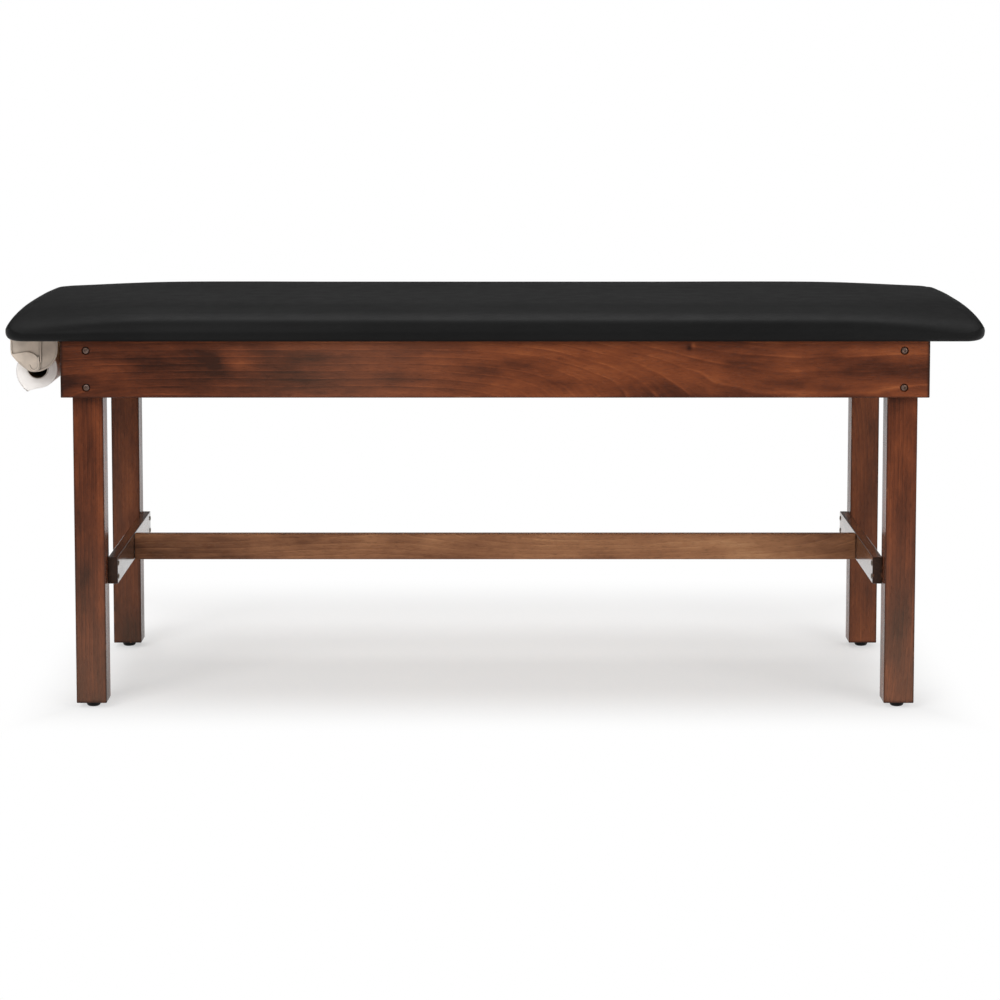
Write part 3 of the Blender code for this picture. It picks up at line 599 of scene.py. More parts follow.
for corner in CORNERS:
    outward = -1 if corner.startswith("front") else 1
    for level in ("upper", "lower"):
        name = f"{corner}_{level}"
        seat, way, bolt_length = seated(name + "_bolt", "Y", outward, BOLT_HEAD[1])
        bolt = socket_bolt("bolt_" + name, seat, way, *BOLT_HEAD, BOLT_SHANK, bolt_length)
        settle(sharp(bolt), zinc, "zinc_steel", "frame", name + "_bolt")
        low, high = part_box(name + "_nut")
        nut = hex_nut("nut_" + name, (low + high) / 2, outward, high.y - low.y)
        settle(sharp(nut), zinc, "zinc_steel", "frame", name + "_nut")


# Brace: two cross stretchers screwed to the legs' inner faces and one long stretcher bolted
# between them, flat boards of the same hardwood. The long one took the stain paler.

CROSS_LOOK = {"tone": -0.14, "warmth": 0.5, "gloss": (0.13, 0.20), "lacquer": 0.5,
              "dust": (0.0, 0.40, 0.08)}
stained_board("head_cross_stretcher", "Y", 31.7, pith=(0.0, 0.06, 0.04), tilt=0.03, **CROSS_LOOK)
stained_board("foot_cross_stretcher", "Y", 36.2, pith=(0.1, -0.05, 0.05), tilt=-0.02, **CROSS_LOOK)
# Painted shade: the dark patches at -0.69 and 0.68 along darken both ends, next to the cross stretchers.
stained_board("long_stretcher", "X", 42.9, tone=0.17, warmth=0.2, pith=(0.3, 0.05, 0.05), tilt=0.02,
              soak_and_shade=(0.3, 0.0),
              patches=((-0.69, 0.0, 0.10, 0.050, -0.37), (-0.39, 0.0, 0.10, 0.050, 0.07),
                       (-0.175, 0.0, 0.06, 0.050, -0.12), (0.08, 0.0, 0.11, 0.050, 0.17),
                       (0.68, 0.0, 0.09, 0.050, -0.25)))


# Wood screws and brace bolts: pan heads with a cross recess hold the stretchers, and one
# socket-head bolt draws each cross stretcher onto the long one. All are zinc plated.

RECESS_WIDTH = 0.16
RECESS_LENGTH = 0.52
RECESS_EDGE = 0.10
RECESS_DEPTH = 0.66
SCREW_PITCH = 0.0022
SCREW_RIDGE = 0.16
SCREW_POINT = 0.25
SCREW_DOME = 0.7
SCREW_STEPS = 48
HEAD_ROWS = 22
SHANK_ROWS = 40


def wood_screw(name, centre, axis, head_radius, head_height, shank, length):
    """Pan-head wood screw: a domed head with a cross sunk in it, over a tapering threaded shank.

    The cross is where both distances from an arm's middle lines stay inside the arm's width
    and length, with soft edges, and it sinks two thirds of the head's height.
    """
    share = np.linspace(0, 1, HEAD_ROWS)[:, None]
    turn = full_turn(SCREW_STEPS)[None, :]
    aside = np.abs(share * np.cos(turn))
    upward = np.abs(share * np.sin(turn))

    def inside(first, second):
        width = np.clip((RECESS_WIDTH - first) / RECESS_EDGE + 0.5, 0, 1)
        reach = np.clip((RECESS_LENGTH - second) / RECESS_EDGE + 0.5, 0, 1)
        return width * reach

    cross = np.maximum(inside(aside, upward), inside(upward, aside))
    dome = head_height * np.sqrt(np.clip(1 - share ** 2, 0, 1)) ** SCREW_DOME
    head = dome - RECESS_DEPTH * head_height * cross
    run = np.linspace(0, 1, SHANK_ROWS)[:, None]
    taper = shank * np.clip((1 - run) / SCREW_POINT, 0, 1)
    ridge = 1 + SCREW_RIDGE * np.cos(2 * math.pi * run * length / SCREW_PITCH + turn)
    radius = np.vstack([head_radius * share + 0 * turn, taper * ridge])
    height = np.vstack([head, -run * length + 0 * turn])
    return turned(name, radius, height, centre, axis, SCREW_STEPS)


screw_zinc = zinc_plate("screw_zinc", (120, 112, 100), 0.40)
BRACE_SCREW_SEAT = 0.0028
BRACE_SCREW_HEAD = (0.0050, 0.0013, 0.0022)
BRACE_BOLT_HEAD = (0.0065, 0.0040, 0.0030)


def drive(name, node, axis, outward, head, seat_depth):
    """Screw in place of a node, with a head's radius, height and shank, and its seat's depth."""
    seat, way, length = seated(node, axis, outward, seat_depth)
    screw = wood_screw(name, seat, way, *head, length)
    settle(sharp(screw), screw_zinc, "zinc_steel", "frame", node)


for corner in CORNERS:
    inward = 1 if corner.endswith("head") else -1
    for level in ("upper", "lower"):
        name = f"{corner}_{level}"
        drive("screw_" + name, name + "_brace_screw", "X", inward, BRACE_SCREW_HEAD, BRACE_SCREW_SEAT)

for end, outward in (("head", -1), ("foot", 1)):
    seat, way, bolt_length = seated(end + "_brace_bolt", "X", outward, BRACE_BOLT_HEAD[1])
    bolt = socket_bolt("bolt_brace_" + end, seat, way, *BRACE_BOLT_HEAD, bolt_length)
    settle(sharp(bolt), screw_zinc, "zinc_steel", "frame", end + "_brace_bolt")


# Cleats and top board: two battens fixed inside the aprons carry a plywood board, and
# four screws driven up through the battens hold it. The board shows only from below.

stained_board("front_cleat", "X", 47.5, tone=-0.05, pith=(0.0, 0.03, 0.04))
stained_board("rear_cleat", "X", 53.8, tone=-0.05, pith=(0.2, 0.03, 0.04))

PLY_COUNT = 5.0
PLY_STOPS = ((0.25, (150, 114, 74)), (0.5, (190, 154, 108)), (0.75, (212, 180, 134)))
PLY_EDGE_STOPS = ((0.46, (206, 172, 126)), (0.54, (142, 104, 68)))


def plywood(node):
    """Raw plywood: a pale face veneer with long figure, and stripes of crossing plies at the edges."""
    low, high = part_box(node)
    finish = Finish("plywood", {"Specular IOR Level": 0.25})
    long_figure = finish.noise(finish.place, (2.5, 38.0, 38.0), 4.0, 0.6)
    fibre = finish.noise(finish.place, (20.0, 700.0, 700.0))
    veneer = finish.tones(finish.sway(fibre, 0.35, long_figure), *PLY_STOPS)
    height = finish.math("SUBTRACT", finish.split(finish.place)["Z"], low.z)
    ply = finish.math("FRACT", finish.math("MULTIPLY", height, 0.5 * PLY_COUNT / (high.z - low.z)))
    face = finish.span(finish.facing("Z"), 0.4, 0.6)
    colour = finish.mix(face, finish.tones(ply, *PLY_EDGE_STOPS), veneer)
    dulled = finish.span(long_figure, 0.3, 0.7, 0.55, 0.72)
    dress(node, finish.coat(colour, dulled, fibre, 0.0003, 0.4))


plywood("top_board")

TOP_SCREW_HEAD = (0.0042, 0.0026, 0.0020)
for corner in CORNERS:
    drive("screw_top_" + corner, corner + "_top_screw", "Z", -1, TOP_SCREW_HEAD, TOP_SCREW_HEAD[1])


# Padded top: a slab of foam on the board under one sheet of black vinyl, pulled tight over
# rounded edges and turned under the board. The foam crowns the top, and the cover swells over it.

PAD_CORNER = 0.0400
PAD_WIDEST = 0.0145
PAD_SHOULDERS = (0.0290, 0.0337)
PAD_LEANS = (0.0130, 0.0410)
PAD_ROUNDINGS = (1.71, 1.88)
PAD_HEIGHT = 0.0590
CROWN_REACH_SIDE = 0.0328
CROWN_REACH_ENDS = (0.0036, 0.031)
CROWN_SLOW_SHARE = 0.16
CORNER_DROOP = 0.0142
DROOP_REACH = (0.155, 0.144)
PAD_TUCK = 0.0110
HEM_DRAWN = 0.0165
HEM_PUFF = 0.0018
HEM_WIDTH = 0.0220
VINYL_FOLD = 0.0012
POCKET_INSET = 0.0136
BOARD_CLEAR = 0.0005
PLEAT_DEPTH = 0.0008
PLEATS = 10
PAD_CELLS = (104, 36)
RIM_CELLS = 10
SWELL_PRESSURE = 4.0
SWELL_FRAMES = 20
SWELL_LIMIT = 0.0025

cover_low, cover_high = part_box("vinyl_cover")
board_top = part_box("top_board")[1].z
pad_half = np.array([cover_high.x, cover_high.y])


def graded(half, rim, rim_cells, cells):
    """Grid lines across a width: even cells inside, and ever finer ones, by a sine, to the rim's edge."""
    edge = half - rim + rim * np.sin(np.linspace(0, math.pi / 2, rim_cells + 1))[1:]
    return np.concatenate([-edge[::-1], np.linspace(rim - half, half - rim, cells + 1), edge])


def rounded_plan(x, y):
    """Grid drawn into a rounded rectangle: each corner square goes to a quarter disc.

    With a and b from 0 to 1 across the square, a shrinks by sqrt(1 - b²/2) and b by sqrt(1 - a²/2).
    """
    a = np.clip((np.abs(x) - pad_half[0] + PAD_CORNER) / PAD_CORNER, 0, 1)
    b = np.clip((np.abs(y) - pad_half[1] + PAD_CORNER) / PAD_CORNER, 0, 1)
    plan_x = np.abs(x) - PAD_CORNER * a * (1 - np.sqrt(1 - b ** 2 / 2))
    plan_y = np.abs(y) - PAD_CORNER * b * (1 - np.sqrt(1 - a ** 2 / 2))
    return np.stack([np.sign(x) * plan_x, np.sign(y) * plan_y], axis=-1)


def pad_height(plan):
    """Height of the pad over its plan: a rounded shoulder, with a crown that swells in from all edges.

    The shoulder is a superellipse of the distance to the outline, tight along the sides and wide
    at the ends, and drawn down near the corners by exp(-(distance / reach)²) from both edges. The
    crown rises with 1 - exp(-distance / reach) from the sides, and from the ends with two such reaches.
    """
    over = np.abs(plan) - (pad_half - PAD_CORNER)
    reach_in = np.hypot(*np.moveaxis(np.maximum(over, 0), -1, 0))
    distance = np.maximum(PAD_CORNER - reach_in - np.minimum(over.max(-1), 0), 0)
    from_end, from_side = np.moveaxis(pad_half - np.abs(plan), -1, 0)
    endward = from_side / np.maximum(from_side + from_end, 1e-9)
    endward = endward ** 2 * (3 - 2 * endward)
    top, lean, rounding = (
        (1 - endward) * side + endward * end for side, end in (PAD_SHOULDERS, PAD_LEANS, PAD_ROUNDINGS))
    lean = 1 - np.minimum(distance / lean, 1)
    shoulder = (1 - lean ** rounding) ** (1 / rounding)
    fast, slow = (np.exp(-from_end / reach) for reach in CROWN_REACH_ENDS)
    rise_end = 1 - (1 - CROWN_SLOW_SHARE) * fast - CROWN_SLOW_SHARE * slow
    rise_side = 1 - np.exp(-from_side / CROWN_REACH_SIDE)
    droop = CORNER_DROOP * np.exp(-(from_end / DROOP_REACH[0]) ** 2 - (from_side / DROOP_REACH[1]) ** 2)
    return PAD_WIDEST + (top - droop - PAD_WIDEST) * shoulder + (PAD_HEIGHT - top) * rise_end * rise_side


def covered_pad(name):
    """Closed skin of the pad: crowned top, tucked edge, hem and a pocket round the board.

    The top and the pocket's ceiling are grids, and rings that follow the outline, each at an
    inset and a height, join their edges. Along the sides the hem puffs below the board, before the
    staples draw it up, and at the corners it is pleated.
    """
    lines = [graded(half, PAD_CORNER, RIM_CELLS, cells) for half, cells in zip(pad_half, PAD_CELLS)]
    x, y = np.meshgrid(*lines, indexing="ij")
    number = np.arange(x.size).reshape(x.shape)
    rim = np.concatenate([number[:, 0], number[-1, 1:], number[-2::-1, -1], number[0, -2:0:-1]])
    plan = rounded_plan(x, y)
    top = np.dstack([plan, cover_low.z + pad_height(plan)]).reshape(-1, 3)

    tuck = np.linspace(0, math.pi / 2, 8)[1:]
    inset = PAD_TUCK * (1 - np.cos(tuck))
    level = PAD_WIDEST * (1 - np.sin(tuck))
    hem = np.linspace(PAD_TUCK, HEM_WIDTH, 6)[1:]
    back = np.linspace(HEM_WIDTH, POCKET_INSET, 4)
    wall = np.linspace(VINYL_FOLD, board_top + BOARD_CLEAR - cover_low.z, 4)[1:]
    inset = np.concatenate([inset, hem, back, np.full(len(wall), POCKET_INSET)])
    level = np.concatenate([level, np.zeros(len(hem)), np.full(len(back), VINYL_FOLD), wall])

    edge = top[rim, :2]
    outward = np.sign(edge) * np.maximum(np.abs(edge) - (pad_half - PAD_CORNER), 0)
    outward /= np.hypot(*outward.T)[:, None]
    ring_plan = edge[None] - inset[:, None, None] * outward[None]
    bearing = np.arctan2(np.abs(outward[:, 1]), np.abs(outward[:, 0]))
    pleat = np.sin(2 * bearing) * (0.5 - 0.5 * np.cos(4 * PLEATS * bearing))
    on_hem = np.clip((inset - PAD_TUCK) / (HEM_WIDTH - PAD_TUCK), 0, 1) * (level < VINYL_FOLD / 2)
    below = (level < PAD_WIDEST) & (level != VINYL_FOLD)
    drawn = np.interp(inset, [0, PAD_TUCK, HEM_DRAWN], [0, 1, 0]) ** 2 * below
    ring_level = cover_low.z + level[:, None] - PLEAT_DEPTH * on_hem[:, None] * pleat[None]
    ring_level -= HEM_PUFF * drawn[:, None] * outward[None, :, 1] ** 2
    rings = np.dstack([ring_plan, ring_level]).reshape(-1, 3)

    shrink = (pad_half - POCKET_INSET) / pad_half
    ceiling = np.column_stack([top[:, :2] * shrink, np.full(x.size, rings[-1, 2])])

    cells = quads(number)
    ring_number = x.size + np.arange(len(rings)).reshape(len(inset), -1)
    belts = np.vstack([rim, ring_number, rim + x.size + len(rings)])
    faces = np.vstack([cells, quads(belts, close_columns=True), cells[:, ::-1] + x.size + len(rings)])
    held = np.ones(2 * x.size + len(rings), bool)
    held[:x.size] = np.isin(number.ravel(), rim)
    return skin(name, np.vstack([top, rings, ceiling]), faces), held


def swell(piece, held):
    """Cloth under inner pressure: the cover's free points swell outwards, each up to a limit."""
    mesh = piece.data
    start = np.zeros(3 * len(mesh.vertices), np.float32)
    mesh.vertices.foreach_get("co", start)
    normal = np.zeros_like(start)
    mesh.vertices.foreach_get("normal", normal)
    normal = normal.reshape(-1, 3)
    piece.vertex_groups.new(name="held").add(np.flatnonzero(held).tolist(), 1.0, "REPLACE")
    cloth = piece.modifiers.new("swell", "CLOTH")
    cloth.settings.use_pressure = True
    cloth.settings.uniform_pressure_force = SWELL_PRESSURE
    cloth.settings.vertex_group_mass = "held"
    cloth.settings.effector_weights.gravity = 0.0
    scene = bpy.context.scene
    for step in range(1, SWELL_FRAMES + 1):
        scene.frame_set(step)
    swollen = np.zeros_like(start)
    result = piece.evaluated_get(bpy.context.evaluated_depsgraph_get())
    result.data.vertices.foreach_get("co", swollen)
    piece.modifiers.remove(cloth)
    piece.vertex_groups.clear()
    scene.frame_set(1)
    move = (swollen - start).reshape(-1, 3)
    rise = np.clip((move * normal).sum(1, keepdims=True), 0, SWELL_LIMIT)
    mesh.vertices.foreach_set("co", start + (rise * normal).ravel())
    mesh.update()


def vinyl():
    """Black upholstery vinyl: an embossed pebble of about a millimetre, and soft dull clouds."""
    finish = Finish("black_vinyl", {"Specular IOR Level": 0.10})
    pebble = finish.vector("MULTIPLY", finish.place, (850.0, 850.0, 850.0))
    wander = finish.noise(finish.place, 500.0)
    grain = finish.node("TexVoronoi", {"Vector": pebble, "Scale": 1.0}, feature="DISTANCE_TO_EDGE")
    grain = finish.math("MULTIPLY_ADD", wander, 0.35, finish.span(grain, 0.0, 0.35))
    cloud = finish.noise(finish.place, (5.0, 8.0, 8.0), 3.0)
    rub = finish.noise(finish.place, 30.0, 3.0)
    colour = finish.tones(cloud, (0.3, (14, 14, 14)), (0.7, (20, 20, 20)))
    dulled = finish.math("MULTIPLY_ADD", rub, 0.14, 0.44)
    return finish.coat(colour, dulled, grain, 0.00012, 0.5)


padded_top, held_points = covered_pad("padded_top")
swell(padded_top, held_points)
smoothing = padded_top.modifiers.new("smooth", "SUBSURF")
smoothing.levels = 1
smoothing.render_levels = 1
settle(padded_top, vinyl(), "black_vinyl", "frame", "vinyl_cover", "foam_pad")


# Hem staples: flat steel wire staples shot through the turned-under vinyl into the board,
# one every few centimetres round the edge, with a gap where the roll brackets stand.

STAPLE_CROWN = 0.0100
STAPLE_WIRE = (0.0011, 0.0005)
STAPLE_STANDS = 0.0004
STAPLE_LEG = 0.0010
STAPLE_BEND = 0.0006
STAPLE_INSET = 0.0178
STAPLE_SPACING = 0.050
STAPLE_CORNER = 0.060
BRACKET_CLEAR = 0.024
bracket_low, bracket_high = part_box("rear_roll_bracket")


def staple(along, across):
    """One staple at the origin: a flat section carried along the crown and up its two legs.

    The path runs along one direction, dips under the hem in between, and the section closes to a
    point at both ends.
    """
    half = STAPLE_CROWN / 2
    run = np.array([-half, -half, -half, STAPLE_BEND - half])
    path = np.concatenate([run, -run[::-1]])[:, None]
    climb = [STAPLE_LEG, STAPLE_LEG, STAPLE_BEND, 0.0]
    rise = np.array(climb + climb[::-1])[:, None] - STAPLE_STANDS
    wide, thick = np.array([[-1, 1, 1, -1], [1, 1, -1, -1]]) * np.array(STAPLE_WIRE)[:, None] / 2
    size = np.array([0, 1, 1, 1, 1, 1, 1, 0])[:, None]
    lean = np.array([1, 1, 1, 0, 0, -1, -1, -1])[:, None] * thick * size
    sink = np.array([0, 0, 0, 1, 1, 0, 0, 0])[:, None] * thick * size
    points = (path + lean)[..., None] * along + (wide * size)[..., None] * across
    return points + (rise + sink)[..., None] * np.array([0, 0, 1])


def staple_row(half):
    """Evenly spaced places along an edge of the pad, centred, which stop short of its corners."""
    count = int(2 * (half - STAPLE_CORNER) / STAPLE_SPACING)
    return (np.arange(count) - (count - 1) / 2) * STAPLE_SPACING


side_x, side_sign = np.meshgrid(staple_row(pad_half[0]), [-1, 1])
end_y, end_sign = np.meshgrid(staple_row(pad_half[1]), [-1, 1])
from_bracket = np.abs(np.abs(end_y) - (bracket_low.y + bracket_high.y) / 2)
clear = (end_sign > 0) | (from_bracket >= BRACKET_CLEAR)
side_spots = np.stack([side_x, side_sign * (pad_half[1] - STAPLE_INSET)], axis=-1).reshape(-1, 2)
end_spots = np.stack([end_sign * (pad_half[0] - STAPLE_INSET), end_y], axis=-1)[clear]
along_x = staple(np.array([1, 0, 0]), np.array([0, 1, 0]))
along_y = staple(np.array([0, 1, 0]), np.array([1, 0, 0]))
staples = np.concatenate([
    np.insert(side_spots, 2, cover_low.z, axis=1)[:, None, None] + along_x,
    np.insert(end_spots, 2, cover_low.z, axis=1)[:, None, None] + along_y,
])
numbers = np.arange(along_x[..., 0].size).reshape(along_x.shape[:2])
first_numbers = np.arange(len(staples)) * numbers.size
staple_faces = quads(numbers, close_columns=True) + first_numbers[:, None, None]
hem_staples = skin("hem_staples", staples.reshape(-1, 3), staple_faces.reshape(-1, 4))
settle(sharp(hem_staples), zinc, "zinc_steel", "frame")


# Roll brackets: two moulded plates of beige plastic screwed up under the head end, with a
# raised rim, a funnel-shaped track and an open slot that takes the end of the roll's rod.

beige_plastic = moulded_plastic("beige_plastic", (194, 180, 166), 0.46, 1800.0, 0.4)
BRACKET_SCREW_HEAD = (0.0040, 0.0024, 0.0018)
for side in ("front", "rear"):
    dress(side + "_roll_bracket", beige_plastic)
    for spot in ("outboard", "inboard"):
        name = f"{side}_{spot}"
        drive("screw_bracket_" + name, name + "_bracket_screw", "Z", -1,
              BRACKET_SCREW_HEAD, BRACKET_SCREW_HEAD[1])


# Rod: a plain turned dowel of pale wood with rounded ends. It lies loose in the brackets'
# slots by its own weight, and lifts out with the roll.

ROD_ROUNDING = 0.0012


def dowel():
    """Raw dowel: pale wood with fine fibre and pores along the rod."""
    finish = Finish("pale_dowel", {"Specular IOR Level": 0.3})
    figure = finish.noise(finish.place, (160.0, 5.0, 160.0), 3.0)
    fibre = finish.noise(finish.place, (1500.0, 40.0, 1500.0))
    shade = finish.sway(fibre, 0.4, figure)
    colour = finish.tones(shade, (0.25, (172, 136, 92)), (0.75, (218, 188, 144)))
    dulled = finish.span(figure, 0.3, 0.7, 0.48, 0.64)
    return finish.coat(colour, dulled, fibre, 0.0002, 0.4)


def round_size(node):
    """Centre, radius and half length of a node that is round about Y."""
    low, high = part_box(node)
    return (low + high) / 2, (high.x - low.x) / 2, (high.y - low.y) / 2


rod_centre, rod_radius, rod_half = round_size("roll_rod")
rounding = np.linspace(0, math.pi / 2, 6)
end_radius = rod_radius - ROD_ROUNDING * (1 - np.sin(rounding))
end_reach = rod_half - ROD_ROUNDING * (1 - np.cos(rounding))
rod = turned("rod", np.concatenate([[0.0], end_radius, end_radius[::-1], [0.0]]),
             np.concatenate([[rod_half], end_reach, -end_reach[::-1], [-rod_half]]),
             rod_centre, (0, 1, 0))
settle(sharp(rod), dowel(), "pale_dowel", "rod", "roll_rod")


# Core and paper roll: a spiral-wound tube of grey-brown board hangs on the rod, and the
# examination paper is wound on it in layers, whose edges show at the roll's ends.

CORE_RADIUS = 0.0183
CORE_LIP = 0.0003
CORE_PITCH = 0.110
CORE_STEPS = 96
CORE_END = (206, 198, 190)
CORE_SEAM = (52, 42, 32)
PAPER_LAYERS = 26
LAYER_STEP = 0.00022
LAST_LAYER_IN = 0.0004
ROLL_EDGE = 0.0009
ROLL_STEPS = 144
TAIL_START = math.radians(140.0)
TAIL_TIPS = (math.radians(246.5), math.radians(262.0))
TAIL_TIP_RADIUS = 0.0476
TAIL_SPRING = 1.8
TAIL_CLEAR = 0.0010
SLACK_END = math.radians(28.0)


def cardboard(centre):
    """Spiral-wound board: a dark seam on a helix, pulp fibre and pale cut ends.

    The seam is where turn and length add up to whole pitches.
    """
    finish = Finish("cardboard", {"Specular IOR Level": 0.2})
    place = finish.about(centre)
    turn = finish.math("DIVIDE", finish.math("ARCTAN2", place["Z"], place["X"]), 2 * math.pi)
    phase = finish.math("FRACT", finish.math("MULTIPLY_ADD", place["Y"], 1 / CORE_PITCH, turn))
    from_seam = finish.math("ABSOLUTE", finish.math("SUBTRACT", phase, 0.5))
    seam = finish.span(from_seam, 0.0, 0.012, 1.0, 0.0)
    pulp = finish.noise(finish.place, 420.0, 4.0)
    tone = finish.tones(pulp, (0.3, (62, 50, 39)), (0.7, (92, 76, 60)))
    wall = finish.tint(finish.math("MULTIPLY", seam, 0.7), tone, CORE_SEAM)
    colour = finish.tint(finish.span(finish.facing("Y"), 0.4, 0.7), wall, CORE_END)
    dulled = finish.span(pulp, 0.3, 0.7, 0.78, 0.92)
    return finish.coat(colour, dulled, finish.math("SUBTRACT", pulp, seam), 0.0003, 0.5)


def paper(name, centre):
    """Smooth white paper: soft fibre clouds, with fine rings about the roll's axis where layers end."""
    finish = Finish(name, {"Specular IOR Level": 0.2})
    place = finish.about(centre)
    ring_place = finish.join(finish.length(place["X"], place["Z"]))
    ring = finish.noise(ring_place, (2600.0, 1.0, 1.0), 3.0)
    on_end = finish.span(finish.facing("Y"), 0.6, 0.9)
    cloud = finish.noise(finish.place, (60.0, 25.0, 60.0), 4.0)
    fibre = finish.noise(finish.place, (900.0, 500.0, 900.0), 3.0)
    sheet_colour = finish.tones(cloud, (0.3, (240, 236, 233)), (0.7, (249, 247, 244)))
    end_colour = finish.tones(ring, (0.3, (230, 224, 219)), (0.7, (252, 249, 246)))
    relief = finish.math("MULTIPLY_ADD", finish.math("MULTIPLY", ring, on_end), 1.5, fibre)
    colour = finish.mix(on_end, sheet_colour, end_colour)
    dulled = finish.span(cloud, 0.3, 0.7, 0.66, 0.80)
    return finish.coat(colour, dulled, relief, 0.00025, 0.4)


roll_centre, core_outer, core_half = round_size("paper_core")
core_radii = [CORE_RADIUS, CORE_RADIUS + CORE_LIP, core_outer - CORE_LIP, core_outer]
core_reach = [core_half - CORE_LIP, core_half, core_half, core_half - CORE_LIP]
core_reach += [-reach for reach in core_reach[::-1]]
core = turned("core", core_radii + core_radii[::-1], core_reach, roll_centre, (0, 1, 0), CORE_STEPS,
              ring=True)
settle(sharp(core), cardboard(roll_centre), "cardboard", "roll", "paper_core")

roll_radius, roll_half = round_size("paper_roll")[1:]


def slack_outline(tip):
    """Radius of the roll at equal steps of turn: round, with its last turns slack under the loose end.

    The slack grows, ever faster, from where the loose end leaves the roll to its tip, and then
    falls to nothing.
    """
    bearing = (math.pi / 2 - full_turn(ROLL_STEPS)) % (2 * math.pi)
    share = np.interp(bearing, [TAIL_START, tip, tip + SLACK_END], [0.0, 1.0, 0.0])
    return roll_radius + (TAIL_TIP_RADIUS - roll_radius - TAIL_CLEAR) * share ** TAIL_SPRING


draw = np.random.default_rng(7)
wound = np.linspace(0.01, 0.99, PAPER_LAYERS)[:, None]
stands = roll_half - LAYER_STEP * draw.random(PAPER_LAYERS)
stands[-1] = roll_half - LAST_LAYER_IN
near_outline, far_outline = (slack_outline(tip) for tip in TAIL_TIPS)
near_layers, far_layers = (
    core_outer + wound * (outer - core_outer) for outer in (near_outline, far_outline))
roll_radii = np.vstack([far_layers, far_outline, near_outline, near_layers[::-1]])
edge_reach = roll_half - ROLL_EDGE
roll_reach = np.concatenate([stands, [edge_reach, -edge_reach], -stands[::-1]])
roll = turned("roll", roll_radii, roll_reach, roll_centre, (0, 1, 0), ROLL_STEPS, ring=True)
settle(sharp(roll), paper("roll_paper", roll_centre), "white_paper", "roll", "paper_roll")


# Loose end of the paper: the last turn springs away from the roll on a growing spiral and
# ends in a cut that runs askew, so that its far corner reaches further round than its near one.

TAIL_RIPPLE = 0.0005
TAIL_WAVES = 2.5
TAIL_LIFT = 0.0003
PAPER_THICKNESS = 0.0002

share, side = np.meshgrid(np.linspace(0, 1, 48), np.linspace(0, 1, 72), indexing="ij")
tip = TAIL_TIPS[0] + (TAIL_TIPS[1] - TAIL_TIPS[0]) * side
bearing = TAIL_START + (tip - TAIL_START) * share
ripple = TAIL_RIPPLE * share * np.sin(2 * math.pi * TAIL_WAVES * side + 2.0 * share)
reach = roll_radius + TAIL_LIFT + (TAIL_TIP_RADIUS - roll_radius) * share ** TAIL_SPRING + ripple
tail_points = np.stack([
    roll_centre.x + reach * np.cos(bearing),
    roll_centre.y + (2 * side - 1) * roll_half,
    roll_centre.z + reach * np.sin(bearing),
], axis=-1)
tail = surface("loose_end", tail_points)
thickness = tail.modifiers.new("paper", "SOLIDIFY")
thickness.thickness = PAPER_THICKNESS
thickness.offset = 0.0
settle(tail, paper("sheet_paper", roll_centre), "white_paper", "roll", "paper_tail")


# Studio: a white floor that keeps a light shadow under the table, a white room round it, three
# large soft lamps, and a camera at chest height, far off, with a long lens.

WHITE = (1.0, 1.0, 1.0, 1.0)
FLOOR_GREY = (0.8, 0.8, 0.8, 1.0)
FLOOR_SIZE = 14.0
SHADOW_ENDS = (0.70, 0.93)
SHADOW_SIDES = (0.36, 0.76)
SHADOW_MIDDLE = 0.25
SHADOW_KEPT = 0.6
DARK_ABOVE = (0.0, 0.10, 1.0, 0.12)
DARK_BEHIND = (-0.25, 0.15, 0.2, 1.0)
ROOM_LIGHT = 0.5


class Backdrop(Nodes):
    """Nodes for the floor or the room, with a share of 1 for rays that show it as a background."""

    def __init__(self, tree):
        super().__init__(tree)
        self.tree.nodes.clear()
        path = self.node("LightPath", {}).node.outputs
        self.seen = path["Is Camera Ray"]
        direct = self.math("MAXIMUM", path["Is Camera Ray"], path["Is Glossy Ray"])
        self.shown = self.math("MAXIMUM", direct, path["Is Transmission Ray"])

    def end(self, kind, surface_shader):
        output = self.tree.nodes.new("ShaderNode" + kind)
        self.feed(output, {"Surface": surface_shader})


def floor():
    """Flat grid of matt pale grey, white to the eye apart from a share of the shadow under the table."""
    half = FLOOR_SIZE / 2
    x, y = np.meshgrid(np.linspace(-half, half, 9), np.linspace(-half, half, 9), indexing="ij")
    piece = surface("floor", np.dstack([x, y, np.zeros_like(x)]))
    material = bpy.data.materials.new("floor")
    material.use_nodes = True
    nodes = Backdrop(material.node_tree)
    place = nodes.split(nodes.node("TexCoord", {}, "Object"))
    endward = nodes.math("ABSOLUTE", place["X"])
    sideward = nodes.math("ABSOLUTE", nodes.math("SUBTRACT", place["Y"], SHADOW_MIDDLE))
    past_ends = nodes.span(endward, *SHADOW_ENDS, 1.0 - SHADOW_KEPT, 1.0)
    past_sides = nodes.span(sideward, *SHADOW_SIDES, 1.0 - SHADOW_KEPT, 1.0)
    white = nodes.math("MAXIMUM", past_ends, past_sides)
    matt = nodes.node("BsdfDiffuse", {"Color": FLOOR_GREY})
    lit = nodes.node("Emission", {"Color": WHITE, "Strength": 1.0})
    both = nodes.node("MixShader", {0: nodes.math("MULTIPLY", white, nodes.shown), 1: matt, 2: lit})
    nodes.end("OutputMaterial", both)
    piece.data.materials.append(material)


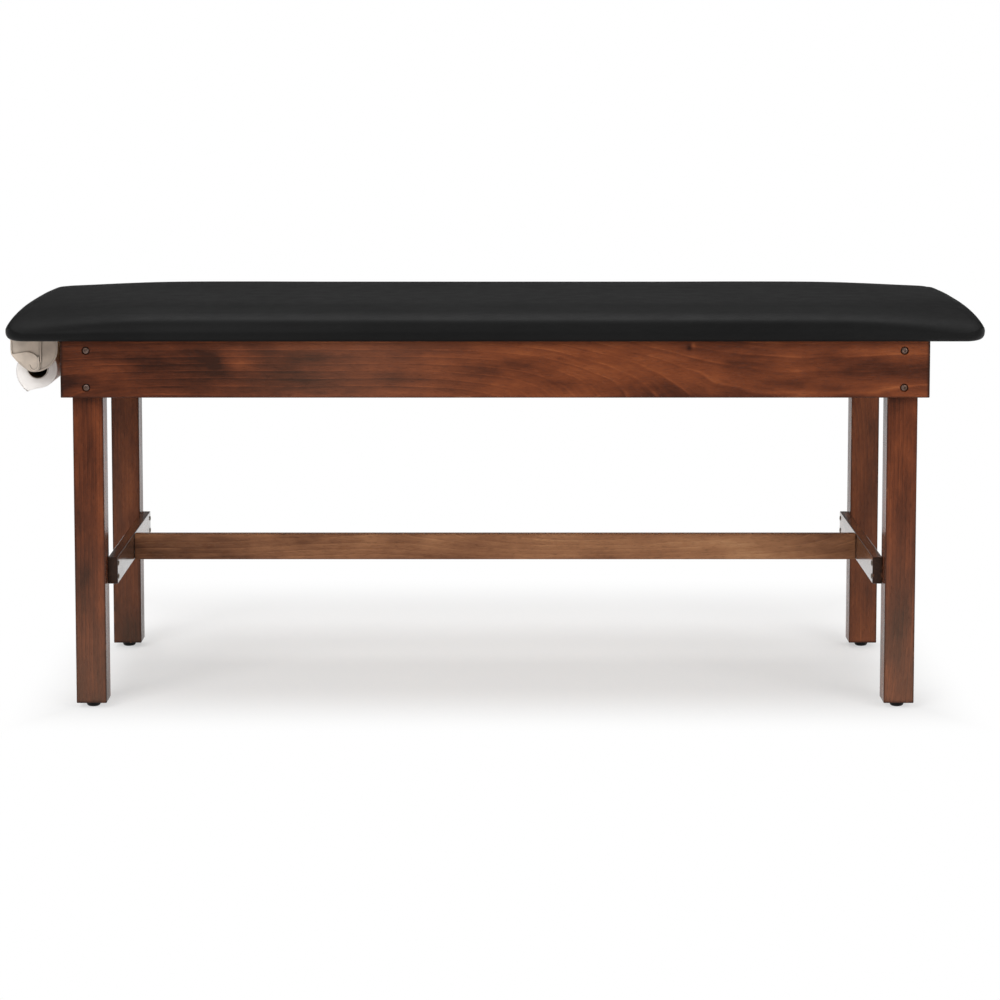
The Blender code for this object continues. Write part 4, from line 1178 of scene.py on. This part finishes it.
def room():
    """White room: plain to the eye, and darker overhead and behind the camera where gloss shows it."""
    world = bpy.data.worlds.new("room")
    bpy.context.scene.world = world
    world.use_nodes = True
    nodes = Backdrop(world.node_tree)
    facing = nodes.split(nodes.node("TexCoord", {}, "Generated"))
    height = nodes.span(facing["Z"], *DARK_ABOVE)
    behind = nodes.span(facing["Y"], *DARK_BEHIND)
    white = nodes.math("MAXIMUM", nodes.math("MULTIPLY", height, behind), nodes.seen)
    shown = nodes.node("Background", {"Color": nodes.join(white, white, white), "Strength": 1.0})
    light = nodes.node("Background", {"Color": WHITE, "Strength": ROOM_LIGHT})
    both = nodes.node("MixShader", {0: nodes.shown, 1: light, 2: shown})
    nodes.end("OutputWorld", both)


def lamp(name, place, target, size, power):
    """Soft rectangular lamp at a place, turned to a target."""
    light = bpy.data.lights.new(name, "AREA")
    light.shape = "RECTANGLE"
    light.size, light.size_y = size
    light.energy = power
    stand = bpy.data.objects.new(name, light)
    stand.location = place
    stand.rotation_euler = (Vector(target) - Vector(place)).to_track_quat("-Z", "Y").to_euler()
    bpy.context.scene.collection.objects.link(stand)


floor()
room()
lamp("key", (-1.8, -3.2, 2.8), (0, 0, 0.5), (2.2, 1.6), 84.0)
lamp("fill", (2.4, -3.0, 1.7), (0, 0, 0.5), (1.8, 1.8), 42.0)
lamp("top", (0.0, 0.5, 3.2), (0, 0, 0.7), (3.2, 1.6), 60.0)

LENS = 104.447
CAMERA_PLACE = (0.0, -5.6917, 1.2834)
CAMERA_PITCH = math.radians(84.631)
CAMERA_SHIFT = (0.00485, -0.2)
camera = bpy.data.objects.new("camera", bpy.data.cameras.new("camera"))
camera.data.sensor_width = 36.0
camera.data.lens = LENS
camera.data.shift_x, camera.data.shift_y = CAMERA_SHIFT
camera.location = CAMERA_PLACE
camera.rotation_euler = (CAMERA_PITCH, 0.0, 0.0)
bpy.context.scene.collection.objects.link(camera)
bpy.context.scene.camera = camera
bpy.context.scene.view_settings.view_transform = "Standard"
